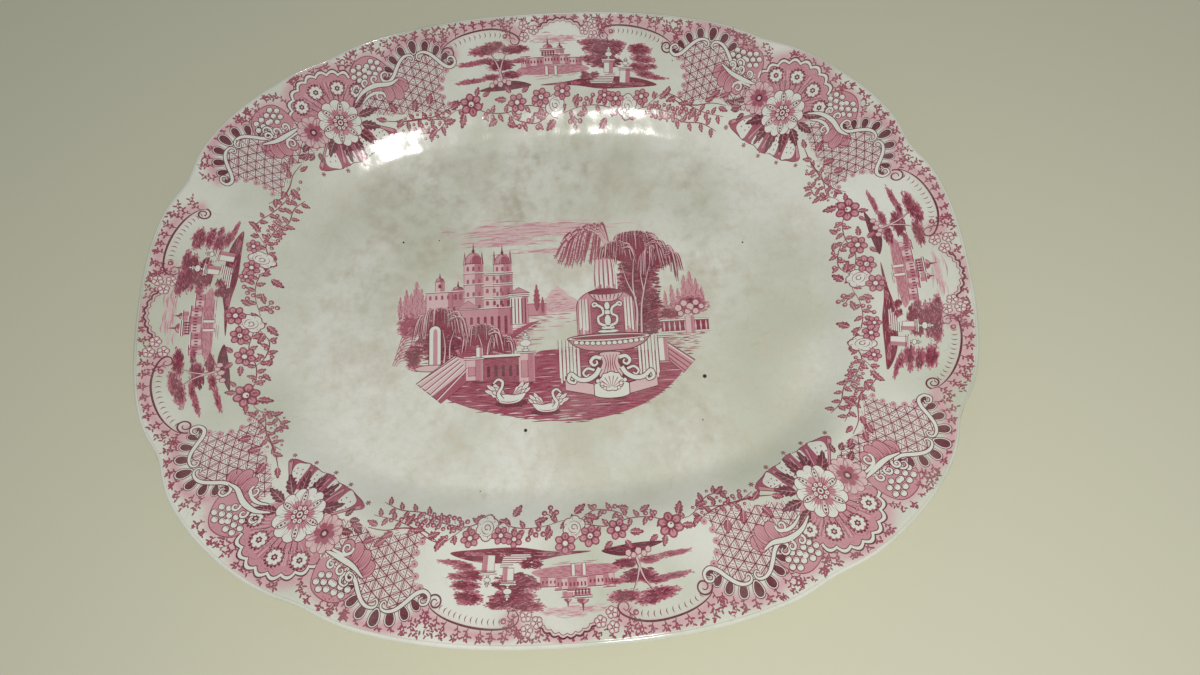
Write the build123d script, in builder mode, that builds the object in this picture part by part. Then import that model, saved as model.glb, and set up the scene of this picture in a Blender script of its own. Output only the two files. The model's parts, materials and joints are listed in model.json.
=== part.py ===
"""An oval china serving platter: a lobed dish with a broad sloping rim, a sunk flat well and a low foot.

The dish is pressed from white earthenware and stands on a bare foot ring. Clear glaze coats it in
three separate patches: the face, the back outside the foot, and the base inside the foot.

Millimetres, +Z up. The origin is on the table, under the middle of the dish. +X runs along the dish.
"""

import math
import os

from build123d import *

# Plan of the dish
length = 400.0  # tip to tip over the two end lobes
width = 322.0  # across the two side lobes
lip_exponent = 2.36  # squareness of the superellipse at the lip
well_exponent = 2.75  # squareness of the superellipse round the well
end_pinch_angle = 21.0  # the dips beside the end lobes, in degrees from the long axis
side_pinch_angle = 50.0  # the dips beside the side lobes
end_pinch_depth = 4.5
side_pinch_depth = 2.4
pinch_spread = 19.0  # a dip is half as deep two thirds of this away from its middle
pinch_fade = 24.0  # inset over which a dip shrinks to about a third

# Section of the dish, as insets from the lip and drops below its crest
rim_width = 46.0
rim_drop = 9.5
rim_sag = 0.8  # how far the rim hangs below a straight line across it
cavetto_width = 27.0
cavetto_drop = 12.5
lip_radius = 2.2
crest_land = 0.4  # flat on top of the lip's round
well_wall = 5.5

# Foot ring
foot_height = 3.0
foot_width = 5.0
foot_set_in = 3.5  # from the edge of the flat underside to the ring
foot_batter = 0.5  # how far each side leans in towards the table

# Glaze
glaze = 0.3
bare_strip = 0.6  # wiped clear of glaze beside the foot ring

# Fineness of the outlines and sections
outline_points = 96
rim_steps = 11
cavetto_steps = 7
lip_steps = 5
lip_start = 245.0  # where the lip's round begins under the rim, in degrees round its middle

# Derived sizes
crest_inset = lip_radius + crest_land
well_edge = rim_width + cavetto_width
floor_height = foot_height + well_wall
crest_height = floor_height + rim_drop + cavetto_drop
foot_outer_inset = well_edge + foot_set_in
foot_inner_inset = foot_outer_inset + foot_width


def outline(inset):
    """Return the points of the dish's lobed outline at an inset from the lip."""
    half_length = length / 2 - inset
    half_width = width / 2 - inset
    share = min(inset / well_edge, 1.0)
    exponent = lip_exponent + (well_exponent - lip_exponent) * share
    fade = math.exp(-inset / pinch_fade)
    points = []
    for step in range(outline_points):
        angle = 2 * math.pi * step / outline_points
        across = abs(math.cos(angle) / half_length) ** exponent
        up = abs(math.sin(angle) / half_width) ** exponent
        plain_radius = (across + up) ** (-1 / exponent)
        folded = math.degrees(math.asin(abs(math.sin(angle))))
        radius = plain_radius
        for pinch_angle, depth in (
            (end_pinch_angle, end_pinch_depth),
            (side_pinch_angle, side_pinch_depth),
        ):
            away = math.radians(folded - pinch_angle) * plain_radius
            radius -= fade * depth / (1 + (away / pinch_spread) ** 2) ** 2
        points.append((radius * math.cos(angle), radius * math.sin(angle)))
    return points


def face_drop(inset):
    """Return how far the face lies below the crest of the lip at an inset."""
    rim_run = rim_width - crest_inset
    if inset <= rim_width:
        share = (inset - crest_inset) / rim_run
        return rim_drop * share + 4 * rim_sag * share * (1 - share)
    shoulder_slope = (rim_drop - 4 * rim_sag) / rim_run
    share = min((inset - rim_width) / cavetto_width, 1.0)
    leaving = (share - 2 * share**2 + share**3) * shoulder_slope * cavetto_width
    falling = (3 * share**2 - 2 * share**3) * cavetto_drop
    return rim_drop + leaving + falling


def back_height(inset):
    """Return the height of the underside at an inset, square to the face by the local wall."""
    nearby = 0.01
    slope = (face_drop(inset + nearby) - face_drop(inset - nearby)) / (2 * nearby)
    share = min((inset - lip_radius) / (well_edge - lip_radius), 1.0)
    wall = 2 * lip_radius + (well_wall - 2 * lip_radius) * share
    return crest_height - face_drop(inset) - wall * math.sqrt(1 + slope**2)


def steps_between(first, last, count):
    """Return count evenly spaced values after first, ending at last."""
    return [first + (last - first) * (step + 1) / count for step in range(count)]


def face_section():
    """Return the (inset, height) points of the face, from the crest of the lip to the well's edge."""
    insets = [crest_inset]
    insets += steps_between(crest_inset, rim_width, rim_steps)
    insets += steps_between(rim_width, well_edge, cavetto_steps)
    return [(inset, crest_height - face_drop(inset)) for inset in insets]


def back_section():
    """Return the (inset, height) points of the back, from the flat underside round the lip to its crest."""
    insets = [well_edge]
    insets += steps_between(well_edge, rim_width, cavetto_steps)
    insets += steps_between(rim_width, 2 * lip_radius, rim_steps)
    points = [(inset, back_height(inset)) for inset in insets]
    points[0] = (well_edge, foot_height)
    for turn in [lip_start] + steps_between(lip_start, 90.0, lip_steps):
        inset = lip_radius + lip_radius * math.cos(math.radians(turn))
        height = crest_height - lip_radius + lip_radius * math.sin(math.radians(turn))
        points.append((inset, height))
    return points


def under_glaze(section):
    """Return a section moved by the glaze, square to itself, into the clay."""
    moved = []
    last = len(section) - 1
    for place, (inset, height) in enumerate(section):
        before = section[max(place - 1, 0)]
        after = section[min(place + 1, last)]
        run = after[0] - before[0]
        rise = after[1] - before[1]
        size = math.hypot(run, rise)
        moved.append((inset + rise / size * glaze, height - run / size * glaze))
    return moved


def lofted(section):
    """Return the solid through the dish's outline at each (inset, height) of a section."""
    with BuildPart() as form:
        for inset, height in section:
            with BuildSketch(Plane.XY.offset(height)):
                with BuildLine():
                    Spline(*outline(inset), periodic=True)
                make_face()
        loft()
    return form.part


def flat_form(inset, low, high):
    """Return a flat form with the dish's outline at an inset, from a low height to a high one."""
    with BuildPart() as form:
        with BuildSketch(Plane.XY.offset(low)):
            with BuildLine():
                Spline(*outline(inset), periodic=True)
            make_face()
        extrude(amount=high - low)
    return form.part


# Sections of the glazed surfaces, and of the clay a glaze thickness behind them
face = face_section()
back = back_section()
clay_face = under_glaze(face)
clay_face[0] = (crest_inset, crest_height - glaze)
clay_face[-1] = (well_edge, floor_height - glaze)
clay_back = under_glaze(back)
clay_back[0] = (well_edge, foot_height + glaze)
clay_back[-1] = (lip_radius, crest_height - glaze)

face_hollow = lofted(face[::-1])
clay_hollow = lofted(clay_face[::-1])
back_hull = lofted(back)
clay_hull = lofted(clay_back)
crest_band = flat_form(lip_radius, crest_height - glaze, crest_height)
foot_clearing = flat_form(foot_outer_inset - bare_strip, 0.0, foot_height + glaze)
foot_outside = lofted([(foot_outer_inset + foot_batter, 0.0), (foot_outer_inset, foot_height + glaze)])
foot_inside = lofted([(foot_inner_inset - foot_batter, 0.0), (foot_inner_inset, foot_height + glaze)])

with BuildPart() as clay_dish:
    add(clay_hull)
    add(clay_hollow, mode=Mode.SUBTRACT)

with BuildPart() as foot_ring:
    add(foot_outside)
    add(foot_inside, mode=Mode.SUBTRACT)

with BuildPart() as face_glaze:
    add(clay_hollow)
    add(crest_band)
    add(face_hollow, mode=Mode.SUBTRACT)

with BuildPart() as back_glaze:
    add(back_hull)
    add(clay_hull, mode=Mode.SUBTRACT)
    add(crest_band, mode=Mode.SUBTRACT)
    add(foot_clearing, mode=Mode.SUBTRACT)

with BuildPart() as base_glaze:
    with BuildSketch(Plane.XY.offset(foot_height)):
        with BuildLine():
            Spline(*outline(foot_inner_inset + bare_strip), periodic=True)
        make_face()
    extrude(amount=glaze)

os.makedirs("parts", exist_ok=True)
clay_dish.part.label = "clay_dish"
export_step(clay_dish.part, "parts/clay_dish.step")
foot_ring.part.label = "foot_ring"
export_step(foot_ring.part, "parts/foot_ring.step")
face_glaze.part.label = "face_glaze"
export_step(face_glaze.part, "parts/face_glaze.step")
back_glaze.part.label = "back_glaze"
export_step(back_glaze.part, "parts/back_glaze.step")
base_glaze.part.label = "base_glaze"
export_step(base_glaze.part, "parts/base_glaze.step")
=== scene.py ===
"""A lobed oval china serving platter with a red transfer print under clear glaze.

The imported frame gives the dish's box and heights. The dish is swept by one rule, the print is drawn flat in
millimetres like a transfer sheet, and the sheet is then laid on the face. Metres from there on, +Z up.
"""

import json
import logging
import math
import random
from collections.abc import Callable, Iterable, Iterator
from contextlib import contextmanager
from dataclasses import dataclass, field, fields, replace
from enum import Enum
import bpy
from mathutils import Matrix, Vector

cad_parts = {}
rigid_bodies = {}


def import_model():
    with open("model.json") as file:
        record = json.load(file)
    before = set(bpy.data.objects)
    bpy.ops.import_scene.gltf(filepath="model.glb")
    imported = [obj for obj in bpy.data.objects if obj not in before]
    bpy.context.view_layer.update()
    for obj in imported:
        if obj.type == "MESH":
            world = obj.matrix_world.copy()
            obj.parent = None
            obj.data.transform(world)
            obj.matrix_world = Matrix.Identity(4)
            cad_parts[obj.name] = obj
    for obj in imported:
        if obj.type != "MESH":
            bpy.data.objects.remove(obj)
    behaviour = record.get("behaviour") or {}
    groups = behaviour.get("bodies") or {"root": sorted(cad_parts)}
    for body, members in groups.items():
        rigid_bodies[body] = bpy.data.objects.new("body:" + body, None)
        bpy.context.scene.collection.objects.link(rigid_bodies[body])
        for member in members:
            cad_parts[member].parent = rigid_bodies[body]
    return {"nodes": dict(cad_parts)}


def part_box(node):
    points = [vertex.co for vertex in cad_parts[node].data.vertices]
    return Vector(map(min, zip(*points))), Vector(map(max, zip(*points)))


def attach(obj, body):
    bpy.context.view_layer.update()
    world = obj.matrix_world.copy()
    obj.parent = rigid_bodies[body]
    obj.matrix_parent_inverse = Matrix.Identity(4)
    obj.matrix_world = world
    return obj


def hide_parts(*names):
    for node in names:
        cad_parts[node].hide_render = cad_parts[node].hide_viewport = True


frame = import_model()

from types import SimpleNamespace

import bpy
import numpy as np
from mathutils import Matrix, Vector
from mathutils.geometry import delaunay_2d_cdt

log = logging.getLogger("platter")
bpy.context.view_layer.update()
MM = 0.001
DEGREE = math.pi / 180
FULL = 2 * math.pi
JUST_UNDER_ONE = 0.999999
Colour = tuple[float, float, float]
Point = tuple[float, float]
Path = np.ndarray | list[Point]


# ---------------------------------------------------------------- numbers that also build nodes


def sum_rule(operation: str, swapped: bool = False) -> Callable[["Quantity", "Quantity | float"], "Quantity"]:
    """Makes one of Quantity's arithmetic methods.

    Args:
        operation: The Math node's operation.
        swapped: True where the quantity stands to the right of the sign.

    Returns:
        The method.
    """

    def method(quantity: "Quantity", other: "Quantity | float") -> "Quantity":
        """Adds the node for the operation."""
        return Quantity.of(operation, *((other, quantity) if swapped else (quantity, other)))

    return method


class Quantity:
    """A number in a node tree that takes part in ordinary sums, so one formula serves arrays and nodes."""

    def __init__(self, tree: bpy.types.NodeTree, socket: bpy.types.NodeSocket) -> None:
        """Wraps an output socket.

        Args:
            tree: The tree that the socket is in.
            socket: An output that holds a number.
        """
        self.tree, self.socket = tree, socket

    @staticmethod
    def of(operation: str, *values: "Quantity | float") -> "Quantity":
        """Adds a Math node.

        Args:
            operation: The node's operation.
            values: Its inputs, of which one at least is a Quantity.

        Returns:
            The node's result.
        """
        tree = next(value.tree for value in values if isinstance(value, Quantity))
        node = tree.nodes.new("ShaderNodeMath")
        node.operation = operation
        for place, value in enumerate(values):
            if isinstance(value, Quantity):
                tree.links.new(value.socket, node.inputs[place])
            else:
                node.inputs[place].default_value = value
        return Quantity(tree, node.outputs[0])

    __add__, __radd__ = sum_rule("ADD"), sum_rule("ADD", True)
    __sub__, __rsub__ = sum_rule("SUBTRACT"), sum_rule("SUBTRACT", True)
    __mul__, __rmul__ = sum_rule("MULTIPLY"), sum_rule("MULTIPLY", True)
    __truediv__, __rtruediv__ = sum_rule("DIVIDE"), sum_rule("DIVIDE", True)


Number = Quantity | np.ndarray | float
ARRAY_RULES = {
    "ABSOLUTE": np.abs, "COSINE": np.cos, "SINE": np.sin, "ARCSINE": np.arcsin, "EXPONENT": np.exp,
    "POWER": np.power, "MINIMUM": np.minimum,
}


def calc(operation: str, *values: Number) -> Number:
    """Applies one operation to arrays or to node quantities.

    Args:
        operation: A key of ARRAY_RULES, which is also a Math node's operation.
        values: Arrays, numbers or quantities.

    Returns:
        An array or a quantity, as the values are.
    """
    if any(isinstance(value, Quantity) for value in values):
        return Quantity.of(operation, *values)
    return ARRAY_RULES[operation](*values)


# ---------------------------------------------------------------- the form of the dish


@dataclass(frozen=True)
class Plan:
    """The dish's plan, in millimetres and degrees: a superellipse with dips between its lobes."""

    length: float
    width: float
    lip_exponent: float = 2.36
    well_exponent: float = 2.75
    end_pinch_angle: float = 21.0
    side_pinch_angle: float = 50.0
    end_pinch_depth: float = 4.5
    side_pinch_depth: float = 2.4
    pinch_spread: float = 19.0
    pinch_fade: float = 24.0
    well_edge: float = 73.0


def lobed_radius(plan: Plan | SimpleNamespace, angle: Number, inset: Number) -> Number:
    """Gives the distance from the middle of the dish to its outline.

    Args:
        plan: A Plan, or a namespace of node quantities with its names.
        angle: Angles from the long axis, in radians.
        inset: How far inside the lip the outline lies, in millimetres.

    Returns:
        Radii in millimetres, as arrays or a node quantity.
    """
    share = calc("MINIMUM", inset / plan.well_edge, 1.0)
    exponent = plan.lip_exponent + (plan.well_exponent - plan.lip_exponent) * share
    along = calc("ABSOLUTE", calc("COSINE", angle)) / (plan.length / 2 - inset)
    across = calc("ABSOLUTE", calc("SINE", angle)) / (plan.width / 2 - inset)
    total = calc("POWER", along, exponent) + calc("POWER", across, exponent)
    plain = calc("POWER", total, -1.0 / exponent)
    folded = calc("ARCSINE", calc("ABSOLUTE", calc("SINE", angle)) * JUST_UNDER_ONE)
    fade = calc("EXPONENT", (0.0 - inset) / plan.pinch_fade)
    radius = plain
    for pinch, depth in (
        (plan.end_pinch_angle, plan.end_pinch_depth),
        (plan.side_pinch_angle, plan.side_pinch_depth),
    ):
        away = (folded - pinch * DEGREE) * plain / plan.pinch_spread
        radius = radius - fade * depth / calc("POWER", 1.0 + away * away, 2.0)
    return radius


@dataclass(frozen=True)
class Dish:
    """The dish's plan and section, in millimetres, with what is asked of its face."""

    plan: Plan
    foot_height: float
    floor_height: float
    crest_height: float
    glaze: float
    rim_width: float = 46.0
    rim_drop: float = 9.5
    rim_sag: float = 0.8
    lip_radius: float = 2.2
    crest_land: float = 0.4
    foot_width: float = 5.0
    foot_set_in: float = 3.5
    bare_strip: float = 0.6

    @classmethod
    def from_frame(cls) -> "Dish":
        """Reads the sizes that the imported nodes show.

        Returns:
            The dish.
        """
        low, high = (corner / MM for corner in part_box("back_glaze"))
        base_low, base_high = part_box("base_glaze")
        face_low, face_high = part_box("face_glaze")
        glaze = (base_high.z - base_low.z) / MM
        plan = Plan(length=high.x - low.x, width=high.y - low.y)
        return cls(plan, base_low.z / MM, face_low.z / MM + glaze, face_high.z / MM, glaze)

    @property
    def crest_inset(self) -> float:
        """The inset of the lip's crest, where the face begins."""
        return self.lip_radius + self.crest_land

    def drop(self, inset: np.ndarray) -> np.ndarray:
        """Gives how far the face lies below the lip's crest.

        Args:
            inset: Insets from the lip.

        Returns:
            Drops, as an array.
        """
        run = self.rim_width - self.crest_inset
        cavetto = self.plan.well_edge - self.rim_width
        fall = self.crest_height - self.floor_height - self.rim_drop
        share = (np.asarray(inset, float) - self.crest_inset) / run
        rim = self.rim_drop * share + 4 * self.rim_sag * share * (1 - share)
        down = np.clip((inset - self.rim_width) / cavetto, 0, 1)
        slope = (self.rim_drop - 4 * self.rim_sag) / run
        leaving = (down - 2 * down**2 + down**3) * slope * cavetto
        wall = self.rim_drop + leaving + (3 * down**2 - 2 * down**3) * fall
        return np.where(inset <= self.rim_width, rim, wall)


@dataclass
class Section:
    """A half section through a ring-shaped piece: rows of (inset, shrink, height) that are swept round."""

    rows: list[tuple[float, float, float]] = field(default_factory=list)

    def line(self, insets: Iterable[float], heights: Iterable[float]) -> "Section":
        """Adds points where the dish's own outlines apply."""
        self.rows += [(float(i), 1.0, float(h)) for i, h in zip(insets, heights)]
        return self

    def flat(self, inset: float, height: float, rings: int, outward: bool) -> "Section":
        """Adds a flat disc inside an outline.

        Args:
            inset: The outline that bounds the disc.
            height: Its height.
            rings: How many steps it is cut into.
            outward: True to run from the middle to the edge.

        Returns:
            The section.
        """
        shares = [ring / rings for ring in range(rings + 1)]
        self.rows += [(inset, s, height) for s in (shares if outward else shares[::-1])]
        return self


# ---------------------------------------------------------------- node trees and meshes


Shade = Quantity | bpy.types.NodeSocket | tuple[float, ...]


class Nodes:
    """A node tree of any kind under construction."""

    def __init__(self, group: bpy.types.NodeTree) -> None:
        """Takes the tree that nodes are added to."""
        self.group = group

    def node(self, kind: str, links: dict | None = None, **options: object) -> bpy.types.Node:
        """Adds a node.

        Args:
            kind: The node's type.
            links: What each input is given: a socket, a quantity or a plain value.
            options: Properties of the node.

        Returns:
            The node.
        """
        node = self.group.nodes.new(kind)
        for name, value in options.items():
            setattr(node, name, value)
        for name, value in (links or {}).items():
            target = node.inputs[name]
            if isinstance(value, Quantity):
                value = value.socket
            if isinstance(value, bpy.types.NodeSocket):
                self.group.links.new(value, target)
            else:
                target.default_value = value
        return node

    def quantity(self, kind: str, links: dict | None = None, output: str | int = 0,
                 **options: object) -> Quantity:
        """Adds a node and takes one of its outputs as a number."""
        return Quantity(self.group, self.node(kind, links, **options).outputs[output])

    def link(self, source: bpy.types.NodeSocket, target: bpy.types.NodeSocket) -> None:
        """Joins two sockets."""
        self.group.links.new(source, target)

    def noise(self, where: bpy.types.NodeSocket, scale: float, detail: float) -> Quantity:
        """Adds a noise texture and takes its value."""
        return self.quantity("ShaderNodeTexNoise", {"Vector": where, "Scale": scale, "Detail": detail})

    def ramp(self, value: Quantity, start: float, end: float) -> Quantity:
        """Eases a number from 0 at start to 1 at end."""
        links = {"Value": value, "From Min": start, "From Max": end}
        return self.quantity("ShaderNodeMapRange", links, interpolation_type="SMOOTHSTEP")

    def mix(self, share: Quantity | float, first: Shade, second: Shade,
            blend: str = "MIX") -> bpy.types.NodeSocket:
        """Mixes two colours.

        Args:
            share: How much of the second, as a number or a quantity.
            first: A colour or a socket.
            second: A colour or a socket.
            blend: The node's blend type.

        Returns:
            The mixed colour.
        """
        links = {0: share, 6: first, 7: second}
        return self.node("ShaderNodeMix", links, data_type="RGBA", blend_type=blend).outputs[2]


class Tree(Nodes):
    """A geometry node tree under construction."""

    def __init__(self, name: str) -> None:
        """Starts a tree that takes a geometry and gives one.

        Args:
            name: The tree's name.
        """
        super().__init__(bpy.data.node_groups.new(name, "GeometryNodeTree"))
        self.given: dict[str, str] = {}
        self.into = self.node("NodeGroupInput")
        self.out = self.node("NodeGroupOutput")
        self.socket("Geometry", "NodeSocketGeometry")
        self.group.interface.new_socket("Geometry", in_out="OUTPUT", socket_type="NodeSocketGeometry")

    def socket(self, name: str, kind: str) -> bpy.types.NodeSocket:
        """Adds a named input.

        Args:
            name: What the input is called.
            kind: Its socket type.

        Returns:
            The socket inside the tree.
        """
        self.given[name] = self.group.interface.new_socket(name, in_out="INPUT", socket_type=kind).identifier
        return self.into.outputs[name]

    def number(self, name: str) -> Quantity:
        """Adds a named number as an input, ready for sums."""
        return Quantity(self.group, self.socket(name, "NodeSocketFloat"))

    def stored(self, name: str, kind: str = "FLOAT") -> bpy.types.NodeSocket:
        """Reads a named attribute of the geometry at hand."""
        reader = self.node("GeometryNodeInputNamedAttribute", {"Name": name}, data_type=kind)
        return reader.outputs["Attribute"]

    def finish(self, geometry: bpy.types.NodeSocket) -> None:
        """Connects the tree's result."""
        self.group.links.new(geometry, self.out.inputs["Geometry"])

    def run(self, name: str, source: bpy.types.Mesh, values: dict) -> bpy.types.Object:
        """Runs the tree on a mesh and keeps the result as a plain mesh.

        Args:
            name: The piece's name.
            source: The mesh that the tree is given.
            values: The tree's other inputs, by name.

        Returns:
            The finished piece, at the origin.
        """
        piece = bpy.data.objects.new(name, source)
        bpy.context.scene.collection.objects.link(piece)
        modifier = piece.modifiers.new(self.group.name, "NODES")
        modifier.node_group = self.group
        for key, value in values.items():
            modifier[self.given[key]] = value
        evaluated = piece.evaluated_get(bpy.context.evaluated_depsgraph_get())
        made = bpy.data.meshes.new_from_object(evaluated)
        piece.modifiers.clear()
        piece.data = made
        made.name = name
        bpy.data.meshes.remove(source)
        return piece


def title(name: str) -> str:
    """Turns a field's name into an input's name, as in lip_exponent to Lip Exponent."""
    return name.replace("_", " ").title()


class LobedSweep:
    """Geometry nodes that carry a half section round the dish's lobed plan."""

    well_reach: float = 90.0

    def __init__(self) -> None:
        """Builds the tree."""
        tree = self.tree = Tree("Lobed Sweep")
        plan = SimpleNamespace(**{f.name: tree.number(title(f.name)) for f in fields(Plan)})
        turns = tree.socket("Turns", "NodeSocketInt")
        material = tree.socket("Material", "NodeSocketMaterial")
        section = tree.into.outputs["Geometry"]
        rows = tree.node("GeometryNodeAttributeDomainSize", {"Geometry": section}).outputs["Point Count"]
        columns = tree.node("FunctionNodeIntegerMath", {0: turns, 1: 1}).outputs[0]
        grid = tree.node("GeometryNodeMeshGrid", {"Vertices X": columns, "Vertices Y": rows}).outputs["Mesh"]
        index = tree.node("GeometryNodeInputIndex").outputs[0]
        row, column = (
            tree.node("FunctionNodeIntegerMath", {0: index, 1: rows}, operation=operation).outputs[0]
            for operation in ("MODULO", "DIVIDE_FLOOR")
        )
        inset, shrink, height = (
            Quantity(tree.group, tree.node(
                "GeometryNodeSampleIndex",
                {"Geometry": section, "Value": tree.stored(name), "Index": row},
            ).outputs[0])
            for name in ("inset", "shrink", "height")
        )
        angle = Quantity(tree.group, column) * FULL / Quantity(tree.group, turns)
        radius = lobed_radius(plan, angle, inset) * shrink * MM
        place = tree.node("ShaderNodeCombineXYZ", {
            "X": radius * calc("COSINE", angle),
            "Y": radius * calc("SINE", angle),
            "Z": height * MM,
        }).outputs[0]
        swept = tree.node("GeometryNodeSetPosition", {"Geometry": grid, "Position": place}).outputs[0]
        kept = tree.node("GeometryNodeStoreNamedAttribute", {
            "Geometry": swept, "Name": "inset", "Value": inset + (1.0 - shrink) * self.well_reach,
        }).outputs[0]
        closed = tree.node("GeometryNodeMergeByDistance", {"Geometry": kept, "Distance": 1e-6}).outputs[0]
        smooth = tree.node("GeometryNodeSetShadeSmooth", {"Geometry": closed}).outputs[0]
        plain = tree.node("GeometryNodeRealizeInstances", {"Geometry": smooth}).outputs[0]
        finished = tree.node("GeometryNodeSetMaterial", {"Geometry": plain, "Material": material})
        tree.finish(finished.outputs[0])

    def sweep(self, name: str, plan: Plan, section: Section, turns: int,
              material: bpy.types.Material) -> bpy.types.Object:
        """Makes a piece from its half section.

        Args:
            name: The piece's name.
            plan: The dish's plan.
            section: The rows to sweep, in order round the section with the clay on their left.
            turns: Steps round the dish.
            material: The piece's finish.

        Returns:
            The finished piece.
        """
        mesh = bpy.data.meshes.new(name + "_section")
        mesh.from_pydata([(0, 0, 0)] * len(section.rows), [], [])
        for place, key in enumerate(("inset", "shrink", "height")):
            layer = mesh.attributes.new(key, "FLOAT", "POINT")
            layer.data.foreach_set("value", [row[place] for row in section.rows])
        values = {title(f.name): getattr(plan, f.name) for f in fields(Plan)}
        return self.tree.run(name, mesh, values | {"Turns": turns, "Material": material})


# ---------------------------------------------------------------- finishes


def paint(red: int, green: int, blue: int) -> tuple[float, float, float, float]:
    """Turns a screen colour of 0 to 255 into the linear colour that a shader takes."""
    shares = (channel / 255 for channel in (red, green, blue))
    return (*(c / 12.92 if c <= 0.04045 else ((c + 0.055) / 1.055) ** 2.4 for c in shares), 1.0)


class Ink(Enum):
    """The tones of the transfer print, with the bare glaze that shows as its lights."""

    WINE = (106, 14, 44)
    CRIMSON = (142, 34, 66)
    ROSE = (172, 82, 104)
    BLUSH = (208, 146, 156)
    MIST = (226, 192, 193)
    WHITE = (232, 234, 224)

    @property
    def number(self) -> int:
        """The tone's number in a mesh's ink attribute."""
        return list(Ink).index(self)


WINE, CRIMSON, ROSE, BLUSH, MIST, WHITE = Ink
EFFECTS = ("Cloud", "Pits", "Crazing", "Gloss", "Ripple")


class GlazeWear:
    """A shader group for old lead glaze: cloudiness, pinholes, crazing, gloss and ripple."""

    def __init__(self) -> None:
        """Builds the group."""
        group = self.group = bpy.data.node_groups.new("Glaze Wear", "ShaderNodeTree")
        for name in EFFECTS:
            group.interface.new_socket(name, in_out="INPUT", socket_type="NodeSocketFloat")
        group.interface.new_socket("Tint", in_out="OUTPUT", socket_type="NodeSocketColor")
        for name in ("Roughness", "Height"):
            group.interface.new_socket(name, in_out="OUTPUT", socket_type="NodeSocketFloat")
        nodes = Nodes(group)
        given, out = nodes.node("NodeGroupInput").outputs, nodes.node("NodeGroupOutput")
        amount = {name: Quantity(group, given[name]) for name in EFFECTS}
        where = nodes.node("ShaderNodeTexCoord").outputs["Object"]
        cloud = nodes.noise(where, 26, 6)
        smear = nodes.noise(where, 70, 5)
        cells = nodes.node("ShaderNodeTexVoronoi", {"Vector": where, "Scale": 150})
        chance = nodes.quantity("ShaderNodeSeparateColor", {"Color": cells.outputs["Color"]})
        near = Quantity.of("LESS_THAN", Quantity(group, cells.outputs["Distance"]), 0.055)
        pit = near * Quantity.of("LESS_THAN", chance, 0.07) * amount["Pits"]
        glass = {"Vector": where, "Scale": 210}
        edge = nodes.quantity("ShaderNodeTexVoronoi", glass, feature="DISTANCE_TO_EDGE")
        craze = Quantity.of("LESS_THAN", edge, 0.018) * amount["Crazing"]
        dim = (cloud - 0.5) * amount["Cloud"] * 2.0 + craze + pit * 0.7
        light = 1.0 - dim
        tint = nodes.node("ShaderNodeCombineColor", {
            "Red": light, "Green": light - dim * 0.12, "Blue": light - dim * 0.4,
        })
        gloss = amount["Gloss"] + Quantity.of("ABSOLUTE", smear - 0.5) * 0.16 + pit * 0.4
        swell = nodes.noise(where, 38, 2) + nodes.noise(where, 420, 1) * 0.035
        height = (swell - pit * 0.3) * amount["Ripple"]
        nodes.link(tint.outputs[0], out.inputs["Tint"])
        nodes.link(gloss.socket, out.inputs["Roughness"])
        nodes.link(height.socket, out.inputs["Height"])


@dataclass(frozen=True)
class Glaze:
    """Clear glaze over a plain ground."""

    name: str
    ground: Colour = (236, 237, 227)
    cloud: float = 0.05
    pits: float = 1.0
    crazing: float = 0.05
    gloss: float = 0.1
    ripple: float = 1.0
    coat: float = 0.5
    swell: float = 0.0006

    def colour(self, nodes: Nodes) -> bpy.types.NodeSocket:
        """Gives the ground's colour, before clouds and pits."""
        return nodes.mix(0.0, paint(*self.ground), paint(*self.ground))

    def make(self, wear: GlazeWear) -> bpy.types.Material:
        """Makes the material.

        Args:
            wear: The shared group of glaze effects.

        Returns:
            A material named after the finish.
        """
        material = bpy.data.materials.new(self.name)
        material.use_nodes = True
        nodes = Nodes(material.node_tree)
        shader = material.node_tree.nodes["Principled BSDF"]
        effect = nodes.node("ShaderNodeGroup", node_tree=wear.group)
        for name in EFFECTS:
            effect.inputs[name].default_value = getattr(self, name.lower())
        tinted = nodes.mix(1.0, self.colour(nodes), effect.outputs["Tint"], "MULTIPLY")
        bump = nodes.node("ShaderNodeBump", {
            "Strength": 1.0, "Distance": self.swell, "Height": effect.outputs["Height"],
        })
        nodes.link(tinted, shader.inputs["Base Color"])
        nodes.link(effect.outputs["Roughness"], shader.inputs["Roughness"])
        nodes.link(bump.outputs[0], shader.inputs["Normal"])
        shader.inputs["IOR"].default_value = 1.52
        shader.inputs["Coat Weight"].default_value = self.coat
        shader.inputs["Coat Roughness"].default_value = 0.04
        return material


@dataclass(frozen=True)
class PlainGlaze(Glaze):
    """Glaze over bare clay, cream with a grey-green pool where it lies thick."""

    pool: Colour = (206, 210, 190)

    def colour(self, nodes: Nodes) -> bpy.types.NodeSocket:
        """Mixes the ground with the pooled glaze in broad drifts.

        Args:
            nodes: The node tree of the material.

        Returns:
            The colour.
        """
        where = nodes.node("ShaderNodeTexCoord").outputs["Object"]
        drift = nodes.ramp(nodes.noise(where, 14, 3), 0.35, 0.75)
        return nodes.mix(drift, paint(*self.ground), paint(*self.pool))


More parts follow.
